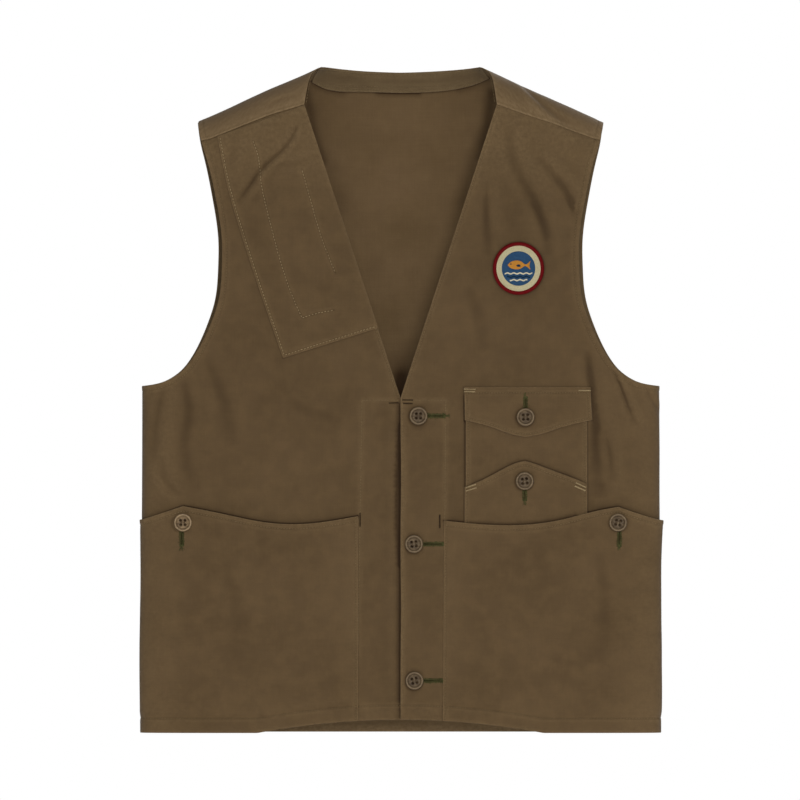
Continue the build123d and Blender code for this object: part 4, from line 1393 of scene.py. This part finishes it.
def bartack(start, end, surface, wide=1.5):
    """A short bar of tight stitches."""
    rng = np.random.RandomState(1)
    start, end = np.array(start, float), np.array(end, float)
    way = (end - start) / np.hypot(*(end - start))
    side = np.array([-way[1], way[0]])
    n = int(np.hypot(*(end - start)) / 0.5)
    at = start + np.linspace(0, 1, n)[:, None] * (end - start)
    reach = wide / 2 + rng.normal(0, 0.1, (n, 1))
    ends = np.stack([at - side * reach, at + side * reach + way * 0.15], 1)
    return threads(ends, surface, radius=0.27, arch=0.3, sink=0.15)


def bartacks(surface, *bars):
    return [bartack(start, end, surface, *wide) for start, end, *wide in bars]


thread_object("right_bartack_stitches",
              bartacks(front_top(-1), ((-12, 346.4), (-2.5, 346.8)), ((-42.4, 231), (-42.4, 217), 1.6)),
              bartack_thread, ["right_bartacks"], side=-1)
thread_object("left_bartack_stitches",
              bartacks(front_top(1), ((2, 349.8), (13, 349.6)), ((3, 346.2), (12.5, 346.0)),
                       ((41.2, 229), (41.2, 215.5), 1.8)),
              bartack_thread, ["left_bartacks"], side=1)
thread_object("chest_pocket_bartack_stitches",
              bartacks(lower_chest, ((68.8, 254.2), (79.5, 257.6)), ((68.8, 257.6), (79, 261.2)),
                       ((184, 262.8), (194.2, 258.0)), ((183, 259.2), (193.6, 254.6))),
              tan_thread, body="left_front")
thread_object("flap_bartack_stitches",
              bartacks(flap_top, ((66.8, 361.2), (78.5, 360.9), 1.3), ((66.8, 358.6), (78, 358.4), 1.3),
                       ((187, 359.8), (199.2, 359.6), 1.4)),
              tan_thread, body="chest_pocket_flap")


# ---- badge ----

def on_badge(height, ribs=0.0, pitch=1.0, upward=False):
    """A surface that far above the front, with fine ribs of embroidery."""
    plain = front_plain(1)
    return lambda u, v: plain(u, v) + height + ribs * np.sin(2 * math.pi * (v if upward else u) / pitch)


cream = twill("badge_twill", rgb(214, 204, 166), rgb(172, 160, 120), 0.5)
border_red = twill("badge_border_thread", rgb(108, 6, 12), rgb(66, 3, 7), 0.4)
blue = twill("badge_blue_thread", rgb(52, 88, 122), rgb(26, 50, 80), 0.62, 1.4)
gold = twill("badge_motif_thread", rgb(214, 150, 62), rgb(160, 98, 34), 0.6, 0.3)
deep_blue = twill("badge_wave_thread", rgb(22, 52, 74), rgb(12, 30, 48), 0.6, 0.2)
pale = twill("badge_pale_thread", rgb(232, 224, 196), rgb(180, 170, 140), 0.6, 0.4)

piece = sheet("badge_backing_cloth", circle(BADGE, 23.8, 120, TALL), on_badge(1.25), cream, 1.1, step=1.0,
              rim=0.6)
finish_piece(piece, ["badge_backing"], side=1)
piece = sheet("badge_field_cloth", circle(BADGE, 17.6, 96, TALL), on_badge(1.55, 0.06, 0.7, upward=True),
              blue, 0.5, step=0.5, rim=0.35)
finish_piece(piece, ["badge_field"], side=1)

# the overlocked border: a roll wrapped in close slanted threads
wraps, slant = 300, 0.018
a = np.arange(wraps) * 2 * math.pi / wraps
inner_ends = np.c_[BADGE[0] + 22.8 * np.cos(a), BADGE[1] + 23.5 * np.sin(a)]
outer_ends = np.c_[BADGE[0] + 27.0 * np.cos(a + slant), BADGE[1] + 27.8 * np.sin(a + slant)]
ring_x, ring_h = circle(BADGE, 24.9, wraps, TALL).T
roll = place(ring_x, ring_h, on_badge(0.75)(ring_x, ring_h))[None]
thread_object("badge_border_stitches",
              [tubes(np.concatenate([roll, roll[:, :2]], 1), 1.75, squash=0.58, sides=10),
               threads(np.stack([inner_ends, outer_ends], 1), on_badge(0.55), radius=0.34, arch=1.35,
                       sink=0.5, steps=7)],
              border_red, ["badge_border"], side=1)


def outline_of(points):
    """A smooth closed outline."""
    return curve([*points, points[0]], 0.5)[:-1]


fish = outline_of([(-11.5, 3.6), (-8, 6.9), (-2, 8.4), (4, 6.6), (7.6, 4.3), (12.6, 8.2), (11.6, 3.4),
                   (12.4, -1.2), (7.4, 2.4), (3, 0.3), (-3, -0.9), (-8.5, 0.6)])
waves = []
for drop, reach in ((-5.2, 14.5), (-8.8, 12.2), (-12.2, 9.2)):
    x = np.linspace(-reach, reach, 60)
    y = drop + 0.55 * np.sin(x * 0.95)
    waves.append(np.vstack([np.c_[x, y - 0.75], np.c_[x, y + 0.75][::-1]]))
piece = sheet("badge_fish", fish + BADGE, on_badge(2.0, 0.08, 0.65), gold, 0.5, step=0.5, rim=0.4)
finish_piece(piece, ["badge_motif"], side=1)
fin = outline_of([(-2.6, 2.9), (0.6, 4.3), (2.2, 2.6), (0.4, 1.6)])
for label, shape, colour, high in (
        ("badge_wave_high", waves[0], pale, 1.95), ("badge_wave_middle", waves[1], deep_blue, 1.95),
        ("badge_wave_low", waves[2], pale, 1.95), ("badge_fin", fin, deep_blue, 2.25),
        ("badge_eye", circle((-8.0, 4.6), 0.75, 16), deep_blue, 2.3)):
    piece = sheet(label, shape + np.array(BADGE), on_badge(high), colour, 0.4, step=0.6, rim=0.3)
    finish_piece(piece, side=1)


# ---- buttons ----

RADIUS = 9.5
HOLE_AT, HOLE = 2.3, 1.3  # from the middle of the button to a hole each way, and the hole's radius
HOLES = [(x, y) for x in (-HOLE_AT, HOLE_AT) for y in (-HOLE_AT, HOLE_AT)]


def button_mesh():
    """A four-hole button: a rolled rim, a dished middle and holes right through, in mm about its centre."""
    holes = [circle(at, HOLE, 18) for at in HOLES]
    rings = [circle((0, 0), r, 72) for r in (6.1, 6.9, 7.6)]
    verts, tris = triangles(circle((0, 0), RADIUS, 96), holes, rings, 0.62, 0.7, 0.3)
    r = np.hypot(*verts.T)
    top = np.interp(r, [0, 4, 5.6, 6.3, 6.9, 7.6, 8.3, 9.0, 9.3, 9.5],
                    [1.55, 1.62, 1.68, 1.78, 2.45, 3.0, 3.08, 2.7, 2.2, 1.5])
    low = np.interp(r, [0, 6.5, 8.2, 9.0, 9.5], [0.0, 0.0, 0.25, 0.7, 1.5])
    near = np.min([np.abs(np.hypot(verts[:, 0] - x, verts[:, 1] - y) - HOLE) for x, y in HOLES], axis=0)
    top = top - 0.16 * hill(near / 0.28)
    low = low + 0.12 * hill(near / 0.28)
    # painted light and shade for the horn: a highlight on the rim, shade in the groove inside it, round the
    # holes and at the outer edge
    wear_and_painted_light = (0.72 * hill((r - 8.35) / 0.5) - 0.5 * hill((r - 6.6) / 0.40) - 0.9 * hill(near / 0.36)
            - 0.35 * hill((r - RADIUS) / 0.3))
    edge = boundary(tris)
    outer = edge[r[edge] > RADIUS - 0.05]
    n = len(verts)
    number = np.arange(n) + n
    number[outer] = outer
    verts3 = np.vstack([np.c_[verts, top], np.c_[verts, low]])
    faces = [tris, number[tris][:, ::-1]]
    known = {(p, q) for p, q in edges_of(tris)}
    walls = []
    for p, q in known:
        if (q, p) not in known and r[p] < RADIUS - 0.05:
            walls += [(q, p, number[p]), (q, number[p], number[q])]
    faces = np.vstack([*faces, np.array(sorted(walls))])
    used, back = np.unique(faces, return_inverse=True)
    # the underside is all in painted shade
    return verts3[used], back.reshape(faces.shape), np.r_[wear_and_painted_light, np.full(n, -0.6)][used]


BUTTON = button_mesh()


def sewn_button(name, at, surface, body, shift, turn, pale=1.0):
    """A button held off the cloth by its thread, which crosses in the four holes."""
    x, h = at
    out = float(surface(np.array([x]), np.array([h]))[0])
    base_y = place(np.array([x]), np.array([h]), np.array([out]))[0, 1] * 1000
    gap = 0.75
    verts, faces, wear_and_painted_light = BUTTON
    c, s = math.cos(turn), math.sin(turn)
    px, pz = verts[:, 0] * c - verts[:, 1] * s, verts[:, 0] * s + verts[:, 1] * c
    points = np.c_[x + px, base_y - gap - verts[:, 2], h - HEM + pz] / 1000
    obj = build(f"{name}_horn", points, faces, horn(f"{name}_colour", shift, pale), wear_and_painted_light=wear_and_painted_light)
    finish_piece(obj, [name], body=body)
    strands = []
    for side_x in (-HOLE_AT, HOLE_AT):
        for k in (-0.25, 0.25):
            t = np.linspace(0, 1, 13)
            across_y = np.clip((t - 0.16) / 0.68, 0, 1) * 2.9 - 1.45
            qx = side_x - np.sign(side_x) * 0.7 + k + 0 * t
            high = np.where((t < 0.16) | (t > 0.84), 0.2, 1.75 + 0.22 * np.sin(math.pi * t))
            strands.append(np.c_[x + qx * c - across_y * s, base_y - gap - high,
                                 h - HEM + qx * s + across_y * c] / 1000)
    shank = []
    for k in range(7):
        a = k * 2 * math.pi / 7
        t = np.linspace(0, 1, 13)
        r = 1.15 * (1 - 0.25 * np.sin(math.pi * t))
        shank.append(np.c_[x + r * np.cos(a + 1.4 * t), base_y + 1.2 - t * (gap + 1.3),
                           h - HEM + r * np.sin(a + 1.4 * t)] / 1000)
    verts, faces = join([tubes(np.stack(strands), 0.22), tubes(np.stack(shank), 0.55)])
    obj = build(f"{name}_sewing", verts, faces, sewing_thread)
    return finish_piece(obj, [f"{name}_thread"], body=body)


for k, which in enumerate(("top", "middle", "bottom")):
    name = f"front_button_{which}"
    sewn_button(name, FRONT_BUTTONS[k], front_plain(1), name, 0.31 + k, 0.1 * k)
for name, at, surface, *colour_and_turn in (
        ("flap_button", FLAP_BUTTON, flap_top, 3.3, 0.05),
        ("chest_pocket_button", CHEST_BUTTON, lower_chest, 4.7, 0.12),
        ("right_pocket_button", POCKET_BUTTONS[-1], pocket_tops[-1], 5.2, 0.03, 1.25),
        ("left_pocket_button", POCKET_BUTTONS[1], pocket_tops[1], 6.9, -0.2)):
    sewn_button(name, at, surface, name, *colour_and_turn)


# ---- how large each sheet of cloth was cut, worked out and not kept; how it is held and what it rests on are listed, not read ----

for name, held, rests_on, folded in (
        ("back_panel_cloth", "hung", (), HEM_FOLD),
        ("right_front_panel", "hung", "back_panel_cloth", HEM_FOLD),
        ("left_front_panel", "hung", "back_panel_cloth", HEM_FOLD),
        ("neckband_facing", "laid", "back_panel_cloth", 0),
        ("right_armhole_facing_front", "laid", "right_front_panel", 0),
        ("left_armhole_facing_front", "laid", "left_front_panel", 0),
        ("right_armhole_facing_back", "laid", "back_panel_cloth", 0),
        ("left_armhole_facing_back", "laid", "back_panel_cloth", 0),
        ("right_placket_facing", "laid", "right_front_panel", 0),
        ("left_placket_facing", "laid", "left_front_panel", 0),
        ("shoulder_patch_cloth", "laid", "right_front_panel", 0),
        ("right_lower_pocket_cloth", "laid", "right_front_panel", HEM_FOLD),
        ("left_lower_pocket_cloth", "laid", "left_front_panel", HEM_FOLD),
        ("upper_chest_pocket_cloth", "laid", "left_front_panel", 0),
        ("lower_chest_pocket_cloth", "laid", "upper_chest_pocket_cloth", 0),
        ("chest_pocket_flap_cloth", "hung", "left_front_panel", 0),
        ("badge_backing_cloth", "laid", "left_front_panel", 0)):
    cut_size(pieces[name], folded)


# ---- the stage, the lights and the camera ----

paper = Finish("pale_paper", Roughness=0.9, Specular_IOR_Level=0.1)
paper_at = paper.node("ShaderNodeTexCoord").outputs["Object"]
paper.link(paper.mix(paper.noise(paper_at, 3.0), (0.93, 0.93, 0.93, 1), (0.96, 0.96, 0.96, 1)), "Base Color")
# a round floor below the hem
low_z = cad_box[0].z - 0.12
reach, corners = 2.25, 96
ring = [(reach * math.cos(a), reach * math.sin(a), low_z)
        for a in np.linspace(0, 2 * math.pi, corners, endpoint=False)]
mesh = bpy.data.meshes.new("floor")
mesh.from_pydata(ring, [], [tuple(range(corners))])
mesh.materials.append(paper.material)
floor = added("floor", mesh)


def lamp(name, at, aim, wide, tall, power):
    """A soft rectangular light, wide and tall in m."""
    data = bpy.data.lights.new(name, "AREA")
    data.energy, data.shape, data.size, data.size_y = power, "RECTANGLE", wide, tall
    obj = added(name, data)
    obj.visible_camera = False
    obj.location = at
    obj.rotation_euler = (Vector(aim) - Vector(at)).to_track_quat("-Z", "Y").to_euler()
    return obj


middle = Vector((0, 0, -0.34))
front_light = lamp("front", (0.30, -4.6, 0.30), middle, 1.4, 1.4, 13.4)
front_light.data.spread = math.radians(60)
lamp("soft_left", (-2.7, -0.5, 0.5), middle, 1.1, 1.8, 7.4)
lamp("soft_right", (2.7, -0.5, 0.6), middle, 1.0, 1.8, 7.6)
lamp("soft_top", (0.0, -0.7, 2.3), middle, 1.6, 0.9, 14)
lamp("behind", (0.9, 2.6, 1.0), middle, 1.4, 1.4, 46)
# the floor's own light, which keeps it as pale as the studio behind it
floor_light = lamp("floor_light", (0, 0, 5.0), (0, 0, 0), 5.0, 5.0, 225)
floor_only = bpy.data.collections.new("floor_only")
floor_only.objects.link(floor)
floor_light.light_linking.receiver_collection = floor_only

# a dim even light from all round, behind which the studio is white
world = bpy.data.worlds.new("studio")
world.use_nodes = True
room = world.node_tree
around_it = next(n for n in room.nodes if n.type == "BACKGROUND")
around_it.inputs["Color"].default_value = (1, 1, 1, 1)
around_it.inputs["Strength"].default_value = 0.06
white = room.nodes.new("ShaderNodeBackground")
white.inputs["Color"].default_value = (1, 1, 1, 1)
seen_by = room.nodes.new("ShaderNodeLightPath")
either = room.nodes.new("ShaderNodeMixShader")
room.links.new(seen_by.outputs["Is Camera Ray"], either.inputs[0])
room.links.new(around_it.outputs[0], either.inputs[1])
room.links.new(white.outputs[0], either.inputs[2])
room.links.new(either.outputs[0], next(n for n in room.nodes if n.type == "OUTPUT_WORLD").inputs["Surface"])
bpy.context.scene.world = world
bpy.context.scene.view_settings.view_transform = "Standard"

camera = added("camera", bpy.data.cameras.new("camera"))
away, sees = 20.0, 0.840  # in m: how far off the camera stands, and how wide a view it takes in there
camera.location = (-0.0005, -away - DEEP / 1000, -0.3463)
camera.rotation_euler = (math.pi / 2, 0, 0)
camera.data.sensor_width = 36.0
camera.data.lens = camera.data.sensor_width * away / sees
camera.data.clip_end = 60.0
bpy.context.scene.camera = camera
